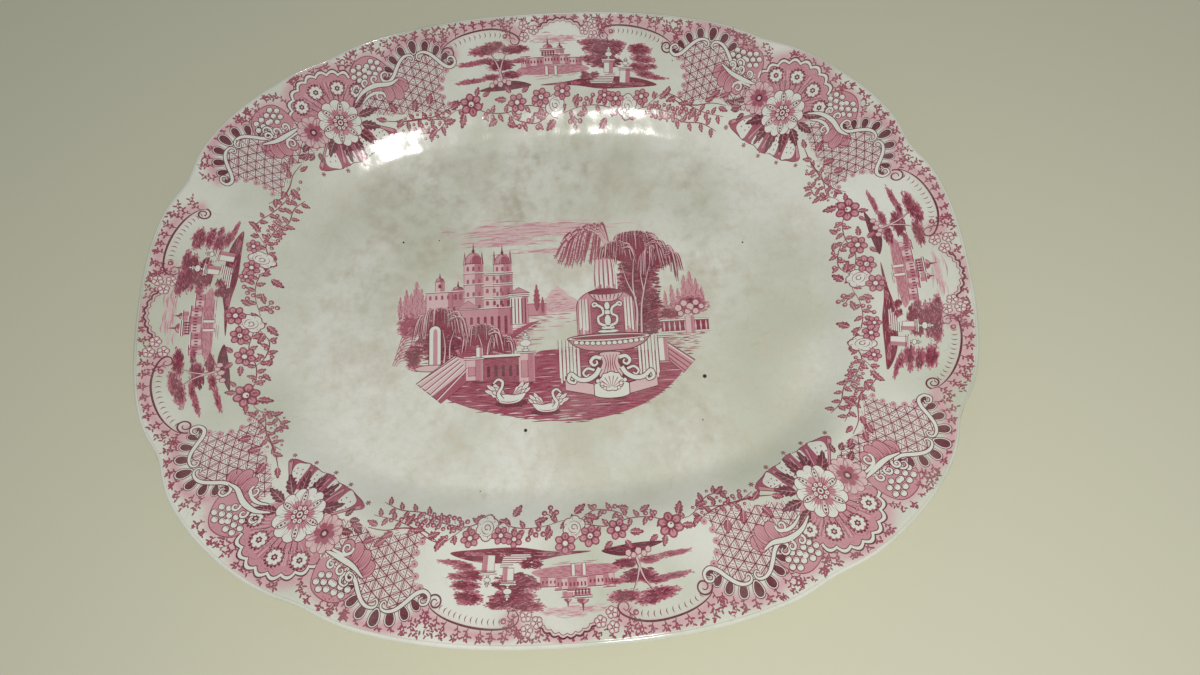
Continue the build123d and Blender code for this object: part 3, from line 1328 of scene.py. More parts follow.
@dataclass
class MotifStock:
    """The engraver's stock of small motifs, each drawn once and stamped many times."""

    collection: bpy.types.Collection = field(default_factory=lambda: bpy.data.collections.new("motif_stock"))

    def leaflet(self, sheet: Sheet) -> None:
        """Draws one tiny leaf of the fringe's seaweed."""
        sheet.patch(oval(2.1, 0.95, 0, 8), CRIMSON)
        sheet.patch(oval(1.5, 0.5, 0.3, 6), ROSE, 1)

    def berry(self, sheet: Sheet) -> None:
        """Draws a ringed berry.

        Args:
            sheet: The sheet to draw on.
        """
        sheet.patch(dot(1.25, 12), CRIMSON)
        sheet.patch(dot(1.0, 12), ROSE, 1)
        sheet.patch(dot(0.5, 8) + (-0.2, 0.2), MIST, 2)

    def bead(self, sheet: Sheet) -> None:
        """Draws a dot in a ring of dots, from the lattice's edge.

        Args:
            sheet: The sheet to draw on.
        """
        sheet.patch(dot(1.85, 12), BLUSH)
        for turn in range(0, 360, 51):
            with sheet.at(*polar(1.25, turn)):
                sheet.patch(dot(0.42, 6), MIST, 1)
                sheet.patch(dot(0.2, 5), CRIMSON, 2)
        sheet.patch(dot(0.45, 7), WINE, 2)

    def tick(self, sheet: Sheet) -> None:
        """Draws a short curved stroke."""
        sheet.line(arc(-2.0, 0, 2.2, -42, 42, step=0.7), (0.1, 0.5, 0.1), CRIMSON)

    def drop(self, sheet: Sheet) -> None:
        """Draws a dark drop in its white loop, along +Y.

        Args:
            sheet: The sheet to draw on.
        """
        egg = oval(6.2, 3.35, -3.15, 14, -0.55)[:, ::-1]
        loop = oval(7.0, 4.1, -3.6, 14, -0.5)[:, ::-1]
        sheet.patch(loop * 1.12, WINE)
        sheet.patch(loop, WHITE, 1)
        sheet.patch(egg, WINE, 2)

    def pip(self, sheet: Sheet) -> None:
        """Draws a round white pip with a dark edge.

        Args:
            sheet: The sheet to draw on.
        """
        sheet.patch(dot(1.6, 12), WINE)
        sheet.patch(dot(1.25, 12), WHITE, 1)
        sheet.line(arc(0.1, -0.1, 0.8, 200, 330), (0.1, 0.3, 0.1), ROSE, 2)

    def floret(self, sheet: Sheet) -> None:
        """Draws a five-petalled floret of the reserve's frame.

        Args:
            sheet: The sheet to draw on.
        """
        sheet.patch(rosette(2.85, 5, 0.2, 18, 6), CRIMSON)
        sheet.patch(rosette(2.5, 5, 0.22, 18, 6), MIST, 1)
        for turn in range(18, 378, 72):
            with sheet.at(turn=turn):
                sheet.patch(oval(1.25, 0.95, 0.8, 7), WHITE, 2)
            with sheet.at(turn=turn + 36):
                sheet.line([(0.6, 0), (1.9, 0)], (0.5, 0.2), CRIMSON, 2)
        sheet.patch(dot(0.62, 8), CRIMSON, 3)
        sheet.patch(dot(0.3, 6), WHITE, 4)

    def star(self, sheet: Sheet) -> None:
        """Draws a star of small strokes, from the end of a rib.

        Args:
            sheet: The sheet to draw on.
        """
        for turn in (0, 60, 120, 180, 240, 300):
            with sheet.at(turn=turn + 30):
                sheet.patch(oval(1.3, 0.75, 0.35, 6), CRIMSON)
        sheet.patch(dot(0.4, 6), WINE, 1)

    def dab(self, sheet: Sheet) -> None:
        """Draws one dash of pale foliage, along +X."""
        sheet.line([(-0.8, 0), (0, 0.16), (0.8, 0)], (0.15, 0.6, 0.15), ROSE)

    def leaf(self, sheet: Sheet) -> None:
        """Draws a toothed leaf of the garland, along +X.

        Args:
            sheet: The sheet to draw on.
        """
        sheet.patch(blade(7.4, 4.5, 4, 0.5), CRIMSON, 0, 1.3)
        sheet.patch(blade(6.3, 3.6, 4, 0.5) + (0.35, 0.05), ROSE, 1, 1.3)
        sheet.patch(blade(4.6, 1.7, 0, 0.5) + (0.7, -0.45), CRIMSON, 2, 1.3)
        sheet.line(bend((0, 0), (3, 0.1), (6.3, 0.4), step=1.2), (0.45, 0.3, 0.1), MIST, 3)
        for run in (1.4, 2.7, 4.0):
            for side in (-1, 1):
                sheet.line([(run, 0.1), (run + 0.9, 1.25 * side + 0.1)], (0.25, 0.1), BLUSH, 3)
        sheet.line([(6.2, 0.4), (7.5, 0.55)], (0.5, 0.7, 0.1), WINE, 3)

    def blossom(self, sheet: Sheet) -> None:
        """Draws a shaded six-petalled flower of the garland.

        Args:
            sheet: The sheet to draw on.
        """
        sheet.patch(rosette(4.7, 6, 0.36, 0, 7), CRIMSON, 0, 1.5)
        sheet.patch(rosette(4.35, 6, 0.38, 0, 7), ROSE, 1, 1.5)
        for turn in range(0, 360, 60):
            with sheet.at(turn=turn):
                sheet.patch(oval(2.4, 2.0, 1.7, 8), BLUSH, 2)
                sheet.line([(1.0, 0), (3.0, 0)], (0.5, 0.15), CRIMSON, 3)
            with sheet.at(turn=turn + 30):
                sheet.line([(1.2, 0), (3.2, 0)], (0.7, 0.2), WINE, 3)
        sheet.patch(dot(1.45, 9), CRIMSON, 4)
        sheet.patch(rosette(1.1, 8, 0.1, 0, 2), WHITE, 5)

    def tuft(self, sheet: Sheet) -> None:
        """Draws a tuft of dark foliage, along +X.

        Args:
            sheet: The sheet to draw on.
        """
        for x, y, size in ((-1.2, 0, 1), (-0.3, 0.5, 1.2), (0.6, 0.1, 1.1), (1.4, -0.2, 0.8), (0, -0.4, 1.2)):
            tone = WINE if y <= 0 else CRIMSON
            sheet.line([(x - 0.8 * size, y), (x, y + 0.15), (x + 0.8 * size, y)], (0.2, 0.6, 0.15), tone)

    def build(self) -> bpy.types.Collection:
        """Draws every motif into the collection, in the order of their numbers.

        Returns:
            The collection.
        """
        for motif in Motif:
            sheet = Sheet()
            getattr(self, motif.name.lower())(sheet)
            mesh = sheet.mesh(motif.name.lower())
            for key in ("kind", "turn", "size", "base"):
                mesh.attributes.remove(mesh.attributes[key])
            item = bpy.data.objects.new(f"{motif.value:02d}_{motif.name.lower()}", mesh)
            self.collection.objects.link(item)
        return self.collection

    def clear(self) -> None:
        """Removes the stock once every sheet is laid."""
        for item in list(self.collection.objects):
            bpy.data.objects.remove(item)
        bpy.data.collections.remove(self.collection)


# ---------------------------------------------------------------- the printed border


class Border:
    """The band round the dish: x runs clockwise along the lip from the middle of the far side, y outward."""

    def __init__(self, plan: Plan, count: int = 5760) -> None:
        """Measures the plan's plain outline.

        Args:
            plan: The dish's plan.
            count: How many points it is measured at.
        """
        self.plan = plan
        angle = math.pi / 2 - np.linspace(0, FULL, count + 1)
        unpinched = replace(plan, end_pinch_depth=0.0, side_pinch_depth=0.0)
        radius = lobed_radius(unpinched, angle, np.zeros(count + 1))
        self.pinch = radius - lobed_radius(plan, angle, np.zeros(count + 1))
        self.outline = np.stack([radius * np.cos(angle), radius * np.sin(angle)], 1)
        self.run = np.concatenate([[0], np.cumsum(np.hypot(*np.diff(self.outline, axis=0).T))])
        heading = np.gradient(self.outline, axis=0)
        self.heading = heading / np.hypot(*heading.T)[:, None]
        self.length = float(self.run[-1])

    def place(self, points: np.ndarray) -> np.ndarray:
        """Carries points from the band to the dish's plan.

        Args:
            points: Points as (x, y) in the band.

        Returns:
            Points in the dish's plan.
        """
        at = np.mod(points[:, 0], self.length)
        x, y = (np.interp(at, self.run, self.outline[:, axis]) for axis in (0, 1))
        dx, dy = (np.interp(at, self.run, self.heading[:, axis]) for axis in (0, 1))
        size = np.hypot(dx, dy)
        inset = -points[:, 1]
        inset = inset + np.interp(at, self.run, self.pinch) * np.exp(-inset / self.plan.pinch_fade)
        return np.stack([x + dy / size * inset, y - dx / size * inset], 1)


@dataclass
class Frame:
    """One reserve's frame, from its arch's middle: two C-scrolls beside a wavy arch with florets."""

    line: float = 0.8

    def scrolled(self, sheet: Sheet, wash: Wash, path: np.ndarray, ticks: tuple[float, float, int]) -> None:
        """Draws a C-scroll's dark line and its row of ticks.

        Args:
            sheet: The sheet to draw on.
            wash: The soft tone under the lines.
            path: The scroll's line.
            ticks: The shares of the line where the ticks start and end, and their number.
        """
        wash.trail(sheet, path + (0, 2.6), 4.6, 1.0)
        sheet.line(path, (0.3, self.line, self.line * 1.25, self.line, 0.3), WINE, 2)
        first, last, count = ticks
        for share in np.linspace(first, last, count):
            x, y, heading = along(path, share)
            down = (heading - 90) * DEGREE
            turn = 0 if heading < 90 else 180
            sheet.stamp(Motif.TICK, x + 3 * math.cos(down), y + 3 * math.sin(down), heading + turn, 1.0, 2)

    def draw(self, sheet: Sheet, wash: Wash) -> list[np.ndarray]:
        """Draws the frame.

        Args:
            sheet: The sheet, in this frame's coordinates.
            wash: The soft tone.

        Returns:
            The lines that the fringe grows from.
        """
        left = bend((-67.5, -18), (-66, -14.5), (-61, -11.5), (-54, -9.3), (-45, -8), (-37, -8), (-30, -9.6),
                    (-25, -12.2), (-23.3, -15), (-24.5, -17), (-27, -17), (-28.2, -15), (-27, -13.4),
                    (-25.6, -14.6))
        hook = arc(-63.5, -18, 4.0, 180, -330, to_radius=1.0)
        right = bend(
            (26.2, -14.8), (24.4, -13.2), (22.6, -14.6), (23.5, -16.6), (26, -16.9), (21, -15.5), (20.6, -12),
            (23.5, -9.4), (30, -8.4), (38, -8.6), (46, -9.8), (54, -12), (60, -15), (62.6, -18),
        )
        right = np.vstack([arc(23.4, -14, 0.8, 260, -180, to_radius=2.9), right[np.argmin(right[:, 0]) + 2:]])
        tail = arc(59.0, -18, 3.6, 0, -510, to_radius=0.9)
        self.scrolled(sheet, wash, left, (0.13, 0.72, 13))
        self.scrolled(sheet, wash, right, (0.36, 0.93, 14))
        for curl in (hook, tail):
            sheet.line(curl, (self.line, self.line, 0.35), WINE, 2)
        for x, y in ((-31.0, -12.4), (27.2, -11.8)):
            sheet.stamp(Motif.BERRY, x, y, 0, 1.05, 3)
        arch = bend((-14, -11), (-10.5, -8.3), (-6, -6.2), (-0.5, -5.2), (5, -6.3), (9.5, -8.8),
                    (12.5, -11.5))
        wash.trail(sheet, arch + (0, 2.0), 3.8, 0.9)
        path = evenly(arch, 0.3)
        heading = np.gradient(path, axis=0)
        side = np.stack([-heading[:, 1], heading[:, 0]], 1) / np.hypot(*heading.T)[:, None]
        lobes = np.abs(np.sin(np.pi * 8 * np.linspace(0, 1, len(path))))[:, None]
        sheet.line(path + side * (lobes * 0.9 + 0.4), self.line, WINE, 2)
        sheet.line(path + side * (lobes * 0.9 - 1.1), 0.3, CRIMSON, 2)
        for x, y in ((-20.5, -7.3), (-15.2, -10), (-20.5, -13.4), (16.8, -7.8), (12.4, -11), (17.2, -13.8)):
            sheet.stamp(Motif.FLORET, x, y, 40 * x, 1.0, 3)
        return [left, right, arch, np.array([(-23.5, -6.5), (-17, -5)]), np.array([(13, -6.5), (19.5, -5.5)])]


@dataclass
class Crest:
    """A cresting: two scrolls that meet under a fan of dark drops, from between the scrolls' eyes."""

    reach: float = 25.0

    def draw(self, sheet: Sheet, wash: Wash) -> list[np.ndarray]:
        """Draws the crest.

        Args:
            sheet: The sheet, in the crest's frame.
            wash: The soft tone.

        Returns:
            The line that the fringe grows from.
        """
        ridge = arc(0, -17, self.reach, 148, 32)
        wash.trail(sheet, ridge + (0, 1.6), 5.4, 1.0)
        for place, turn, size in ((0, 0, 1.2), (1, 17.5, 1.12), (2, 34, 1.05), (3, 49, 0.92), (4, 62, 0.72)):
            for side in (-1, 1) if place else (1,):
                reach = 22.4 - place * 0.3
                x, y = reach * math.sin(turn * DEGREE) * side, -16.5 + reach * math.cos(turn * DEGREE)
                sheet.stamp(Motif.DROP, x, y, -turn * side * 0.85, size, 2)
        for side in (1, -1):
            with sheet.at(flip=side):
                wave = bend((3.2, -0.6), (2.1, -1.6), (0.9, -0.2), (1.7, 1.8), (4.6, 2.3), (8, 0.9),
                            (11.5, -2.6), (15, -6.6), (18.6, -8.4), (21.6, -6.8), (21.4, -3.6), (18.9, -2.8),
                            (17.6, -4.6), (18.9, -5.9))
                sheet.piped(wave, (0.5, 0.9, 1.5, 1.7, 1.7, 1.4, 0.9, 0.4), 0.42, 6)
        return [ridge]


@dataclass
class Lattice:
    """A panel of trellis: a ground crossed by lines in three directions, with strokes in its triangles."""

    outline: np.ndarray
    pitch: float = 5.2

    def draw(self, sheet: Sheet) -> None:
        """Draws the ground, the strokes in the triangles and the crossing lines, each cut at the outline.

        Args:
            sheet: The sheet to draw on.
        """
        sheet.patch(self.outline, MIST, 0, 2.2)
        middle, half = self.outline.mean(0), self.pitch * math.sqrt(3) / 2
        for column in range(-14, 15):
            for row in range(-24, 25):
                for point in (0, 1):
                    centre = middle + (half * (column + (2 - point) / 3), self.pitch * (row / 2))
                    if (column + row + point) % 2 or not inside(self.outline, centre[None])[0]:
                        continue
                    with sheet.at(*centre, 60 * point + 120 * ((column + row // 2) % 3)):
                        for place in range(3):
                            reach = half * (-0.22 + 0.26 * place)
                            wide = self.pitch * (0.36 - 0.13 * place)
                            ends = np.array([(reach, -wide), (reach, wide)])
                            sheet.line(ends, 0.62, WHITE, 2)
                            sheet.line(ends + (0.55, 0), 0.24, CRIMSON, 1)
        for turn in (90, 30, 150):
            way = np.array([math.cos(turn * DEGREE), math.sin(turn * DEGREE)])
            across = np.array([-way[1], way[0]])
            for row in range(-15, 16):
                ticks = middle + across * row * half - way * 60 + way * np.arange(0, 120, 0.5)[:, None]
                hits = inside(self.outline, ticks)
                edges = np.flatnonzero(np.diff(np.concatenate([[0], hits.astype(int), [0]])))
                for first, last in zip(edges[::2], edges[1::2]):
                    if last - first > 2:
                        sheet.line(ticks[[first, last - 1]], 0.42, WINE, 3, 2.4)


def dark_leaf(sheet: Sheet, x: float, y: float, turn: float, length: float, width: float,
              ink: Ink = WINE) -> None:
    """Draws a toothed leaf with pale veins.

    Args:
        sheet: The sheet to draw on.
        x: Where it stands along the sheet.
        y: Where it stands across the sheet.
        turn: Degrees anticlockwise.
        length: From stalk to tip.
        width: At its widest.
        ink: Its tone.
    """
    with sheet.at(x, y, turn):
        sheet.patch(blade(length, width, 5, 0.4), ink, 8, 1.4)
        rib = bend((0.3, 0), (length * 0.5, 0.1), (length * 0.93, 0.35), step=1.2)
        sheet.line(rib, (0.4, 0.3, 0.1), BLUSH, 9)
        for share in (0.22, 0.42, 0.6):
            for side in (-1, 1):
                far = (length * (share + 0.15), side * width * 0.3 + 0.1)
                sheet.line([(length * share, 0.1), far], (0.24, 0.1), BLUSH, 9)


def rose(sheet: Sheet, x: float, y: float, radius: float, turn: float = 0) -> None:
    """Draws a white garland rose in outline.

    Args:
        sheet: The sheet to draw on.
        x: Where it stands along the sheet.
        y: Where it stands across the sheet.
        radius: Its radius.
        turn: Degrees anticlockwise.
    """
    with sheet.at(x, y, turn, radius / 5):
        sheet.edged(rosette(5, 6, 0.16, 0, 6), WHITE, CRIMSON, 0.4, 6, 1.6)
        sheet.line(arc(0.3, 0.2, 2.9, 30, 290), (0.1, 0.4, 0.1), ROSE, 8)
        sheet.line(arc(-0.2, 0.3, 2.9, 330, 440, to_radius=2.0), (0.1, 0.4, 0.1), ROSE, 8)
        sheet.line(arc(0.2, 0, 1.6, 120, 470, to_radius=0.5), 0.35, CRIMSON, 8)
        for angle in range(15, 375, 60):
            with sheet.at(turn=angle):
                sheet.line([(3.3, 0), (4.4, 0)], (0.3, 0.1), ROSE, 8)


@dataclass
class Corner:
    """A corner spray under a scalloped shell, as (x, y) from the shell's middle on the lip."""

    centre: Point = (1.0, -33.0)
    flower: Point = (1.5, -35.5)
    radius: float = 26.5
    scallops: int = 10

    def shell(self, sheet: Sheet, wash: Wash) -> np.ndarray:
        """Draws the shell with its pins and roundels, and gives its edge.

        Args:
            sheet: The sheet to draw on.
            wash: The soft tone under the lines.

        Returns:
            The outline of its scallops.
        """
        share = np.linspace(0, 1, self.scallops * 9 + 1)
        angle = np.radians(157 - 139 * share)
        ray = np.stack([np.cos(angle), np.sin(angle)], 1)
        wave = 1.9 * np.abs(np.sin(np.pi * self.scallops * share))[:, None] - 0.5
        edge = ray * (self.radius + wave) + self.centre
        wash.trail(sheet, ray * (self.radius + 2) + self.centre, 6.0, 0.9)
        for inset, ink, layer in ((-0.8, WINE, 0), (0, WHITE, 1), (1.5, WINE, 2), (2.0, BLUSH, 3)):
            rim = ray * (self.radius + wave - inset) + self.centre
            sheet.patch(np.vstack([rim, [(13, -39), (-11, -39)]]), ink, layer, 2.4)
        dice = random.Random(17)
        for _ in range(240):
            turn, reach = dice.uniform(25, 155), dice.uniform(12, 24.4)
            place = polar(reach, turn) + self.centre
            sheet.stamp(Motif.DAB, *place, dice.uniform(0, 180), 0.5, 4)
        for turn in np.arange(24, 158, 3.1):
            with sheet.at(*self.centre, turn):
                tone = MIST if turn % 2 > 1 else ROSE
                sheet.line([(13, 0), (21.5, 0)], (0.1, 0.34, 0.42), tone, 4)
        for turn in range(52, 140, 11):
            with sheet.at(*self.flower, turn):
                sheet.line([(11, 0), (17.2, 0)], (0.3, 0.55), WINE, 5)
                sheet.patch(dot(0.85, 7) + (17.6, 0), WINE, 5)
                sheet.patch(dot(0.4, 6) + (17.6, 0), MIST, 6)
        for x, y in ((-13.5, -18.6), (-2, -15.2), (10, -17.6), (19.6, -23.4)):
            with sheet.at(x, y):
                sheet.patch(rosette(4.9, 16, 0.22, 0, 4), WINE, 5)
                sheet.patch(dot(3.9, 14), ROSE, 6.5)
                sheet.patch(rosette(3.6, 8, 0.26, 0, 6), WHITE, 8)
                sheet.patch(rosette(1.6, 6, 0.3, 0, 4), WINE, 9.5)
                sheet.patch(dot(0.65, 6), MIST, 11)
        return edge

    def petals(self, sheet: Sheet, radius: float, fill: Ink, shade: Ink, layer: int, turn: float) -> None:
        """Draws six two-lobed petals with shading strokes, round the frame's origin.

        Args:
            sheet: The sheet to draw on.
            radius: From the flower's middle to its tips.
            fill: The filling's tone.
            shade: The shading's tone.
            layer: The petals' lowest layer.
            turn: Degrees to the first petal.
        """
        size = radius / 13
        for place in range(6):
            with sheet.at(turn=turn + 60 * place, size=size):
                petal = bend((2.5, 0), (5, -4.2), (9, -6.3), (12.4, -4.8), (13.1, -2), (12.1, 0), (13.1, 2),
                             (12.4, 4.8), (9, 6.3), (5, 4.2), closed=True)
                sheet.edged(petal, fill, CRIMSON, 0.45, layer, 1.6)
                sheet.patch(oval(5.0, 4.4, 3.0, 9, 0.4), shade, layer + 2)
                for spread in (-26, -15, -5, 5, 15, 26):
                    with sheet.at(turn=spread):
                        far = 8.6 if abs(spread) > 20 else 10.2
                        tone = ROSE if spread % 2 else shade
                        sheet.line([(3.2, 0), (far, 0)], (0.7, 0.5, 0.1), tone, layer + 3)
                sheet.line([(11.9, 0), (9.4, 0)], (0.45, 0.1), CRIMSON, layer + 3)

    def blooms(self, sheet: Sheet) -> None:
        """Draws the large flower, its neighbour and the dark leaves.

        Args:
            sheet: The sheet to draw on.
        """
        for x, y, turn, length, width in (
            (-5, -41, 208, 15, 6.6), (-1.5, -43.5, 248, 13, 7), (4, -44, 278, 13, 6.6), (9, -43, 306, 13, 6),
            (13, -40.5, 330, 13, 6.2), (14, -36, -4, 13, 5.4), (13, -31, 20, 12, 5.6),
            (-30.5, -41, 165, 6, 3.6), (-26, -43, 190, 6, 3.6), (-22, -44, 230, 6, 3.8),
            (-24.5, -37, 190, 7, 4),
        ):
            dark_leaf(sheet, x, y, turn, length, width)
        with sheet.at(-17, -33.2):
            self.petals(sheet, 9.2, MIST, ROSE, 11, 12)
            sheet.patch(rosette(2.3, 9, 0.12, 0, 3), WINE, 15)
            sheet.patch(dot(1.1, 7), MIST, 16.5)
        with sheet.at(*self.flower):
            self.petals(sheet, 13, WHITE, BLUSH, 14, 30)
            for turn in range(0, 360, 60):
                for reach, size in ((7.4, 0.5), (9.2, 0.7), (10.8, 0.5)):
                    sheet.patch(dot(size, 6) + polar(reach, turn), WINE, 18.5)
            sheet.patch(rosette(4.7, 16, 0.1, 0, 3), CRIMSON, 18, 1.2)
            for turn in range(0, 360, 45):
                sheet.patch(dot(1.05, 8) + polar(3.3, turn), WHITE, 20)
                sheet.patch(dot(0.4, 6) + polar(3.3, turn), CRIMSON, 22)
            sheet.patch(dot(1.5, 9), WHITE, 20, 1.2)
            sheet.patch(dot(0.8, 8), WINE, 22)

    def scrollwork(self, sheet: Sheet) -> None:
        """Draws the white scrolls and pink acanthus at both sides of the flowers.

        Args:
            sheet: The sheet to draw on.
        """
        for spine, lobes in (
            (bend((-46, -22), (-39, -25.2), (-31, -26.4), (-23, -26.8)), ((0.06, -112, 9), (0.22, -104, 11),
             (0.4, -96, 11.5), (0.58, -88, 10.5))),
            (bend((16, -29), (23, -25.4), (31, -24.6), (39.5, -26.2), (45, -25)),
             ((0.98, -62, 9), (0.84, -70, 11.5), (0.68, -78, 11.5), (0.52, -86, 9))),
        ):
            for place, (share, turn, length) in enumerate(lobes):
                x, y, _ = along(spine, share)
                low = 3 + 1.5 * place
                with sheet.at(x, y + 1, turn):
                    lobe = oval(length, 6.8, 0, 18, -0.35)
                    sheet.patch(lobe, BLUSH, low, 1.5)
                    sheet.line(np.vstack([lobe, lobe[:2]]), 0.42, CRIMSON, low + 0.7)
                    for side in (-1.7, -0.6, 0.6, 1.7):
                        sheet.line(bend((0.8, 0), (length * 0.45, side), (length * 0.82, side * 1.2)),
                                   (0.5, 0.35, 0.1), ROSE, low + 0.9)
            sheet.piped(spine, (0.6, 1.9, 2.5, 2.1, 0.8), 0.42, 9)
        for x, y, start, sweep, radius in (
            (-34.5, -21.6, -60, 330, 2.4), (-28.7, -22.4, -60, 330, 2.2), (-40.2, -20.6, -60, 330, 2.3),
            (20.5, -22.4, 240, -330, 2.3), (26.2, -21.4, 240, -330, 2.2), (32.0, -21.2, 240, -330, 2.2),
            (-32.6, -31.4, 200, -420, 3.2), (31.6, -31.2, -20, 400, 3.0),
        ):
            sheet.piped(arc(x, y, radius, start, start + sweep, to_radius=0.7), (1.2, 1.0, 0.5), 0.38, 8)
        sheet.piped(bend((-23, -29), (-28, -28.2), (-32.5, -28.2), (-35.6, -30.4)), (0.7, 1.6, 1.2), 0.4, 8)
        sheet.piped(bend((20, -31), (25, -28.8), (30, -28.4), (33.8, -30)), (0.7, 1.6, 1.2), 0.4, 8)

    def fan(self, sheet: Sheet) -> None:
        """Draws the dotted fan that opens inward from the flowers.

        Args:
            sheet: The sheet to draw on.
        """
        tips = ((-29, -50.5), (-12, -55), (2, -56.5), (18, -55), (32.5, -51))
        roots = ((-14, -42), (-6, -45), (2, -46), (10, -45), (17, -42))
        for first in range(4):
            near_tip, far_tip = tips[first], tips[first + 1]
            dip = ((near_tip[0] + far_tip[0]) / 2, min(near_tip[1], far_tip[1]) + 0.6)
            outline = bend(roots[first], near_tip, dip, far_tip, roots[first + 1], step=1.6)
            sheet.patch(outline, ROSE, 2, 1.6)
            sheet.line(outline, 0.35, WINE, 3)
            sheet.patch(shrunk(outline, 0.5, 0.94), WHITE, 3, 1.6)
            for row in (0.2, 0.4, 0.6, 0.8):
                for share in (0.38, 0.62):
                    near = np.array(roots[first]) * (1 - share) + np.array(roots[first + 1]) * share
                    far = np.array(tips[first]) * (1 - share) + np.array(tips[first + 1]) * share
                    place = near * (1 - row) + far * row
                    sheet.patch(dot(0.42, 6) + place, CRIMSON, 5.5)
        for (x, y), (far_x, far_y) in zip(roots, tips):
            rib = bend((x, y), ((x + far_x) / 2, (y + far_y) / 2 - 0.3), (far_x, far_y), step=1.2)
            sheet.piped(rib, (0.8, 1.0, 1.9), 0.36, 4, BLUSH)
            sheet.stamp(Motif.STAR, far_x * 1.06, far_y - 2.6, 0, 1.1, 4)
            sheet.patch(dot(1.3, 8) + (far_x, far_y), ROSE, 6)

    def pips(self, sheet: Sheet, wash: Wash) -> None:
        """Draws the clusters of white pips on their pink ground.

        Args:
            sheet: The sheet to draw on.
            wash: The soft tone under the lines.
        """
        for outline in (
            bend((-45, -17), (-41, -10), (-34, -7.5), (-26, -9.5), (-22.5, -17), (-23, -26), (-30, -26),
                 (-40, -23), closed=True, step=1.8),
            bend((21, -24), (19.5, -14), (24, -9.5), (31, -8), (37, -11), (42, -19), (38, -25), (29, -25),
                 closed=True, step=1.8),
        ):
            sheet.patch(outline, BLUSH, 1, 2.4)
            sheet.line(np.vstack([outline, outline[:1]]), 0.4, CRIMSON, 2)
            wash.trail(sheet, outline, 4.5, 0.8)
        for x, y, turn in ((-38, -15.4, 0), (-29.6, -14.4, 20), (25, -15.6, 10), (33.6, -15.2, 30)):
            for place in range(7):
                spot = polar(3.6 if place else 0.0, turn + 60 * place) + (x, y)
                sheet.stamp(Motif.PIP, *spot, 0, 1.16, 4)

    def draw(self, sheet: Sheet, wash: Wash) -> list[np.ndarray]:
        """Draws the whole spray and gives the lines that the fringe grows from.

        Args:
            sheet: The sheet to draw on.
            wash: The soft tone under the lines.

        Returns:
            The lines that the fringe grows from.
        """
        self.pips(sheet, wash)
        edge = self.shell(sheet, wash)
        self.fan(sheet)
        self.scrollwork(sheet)
        self.blooms(sheet)
        left = np.array([(-44, -13), (-38, -8.2), (-31, -6.6), (-25, -8.2)])
        right = np.array([(24, -8.4), (31, -6.8), (38, -9.8)])
        return [edge[4:-6], left, right]


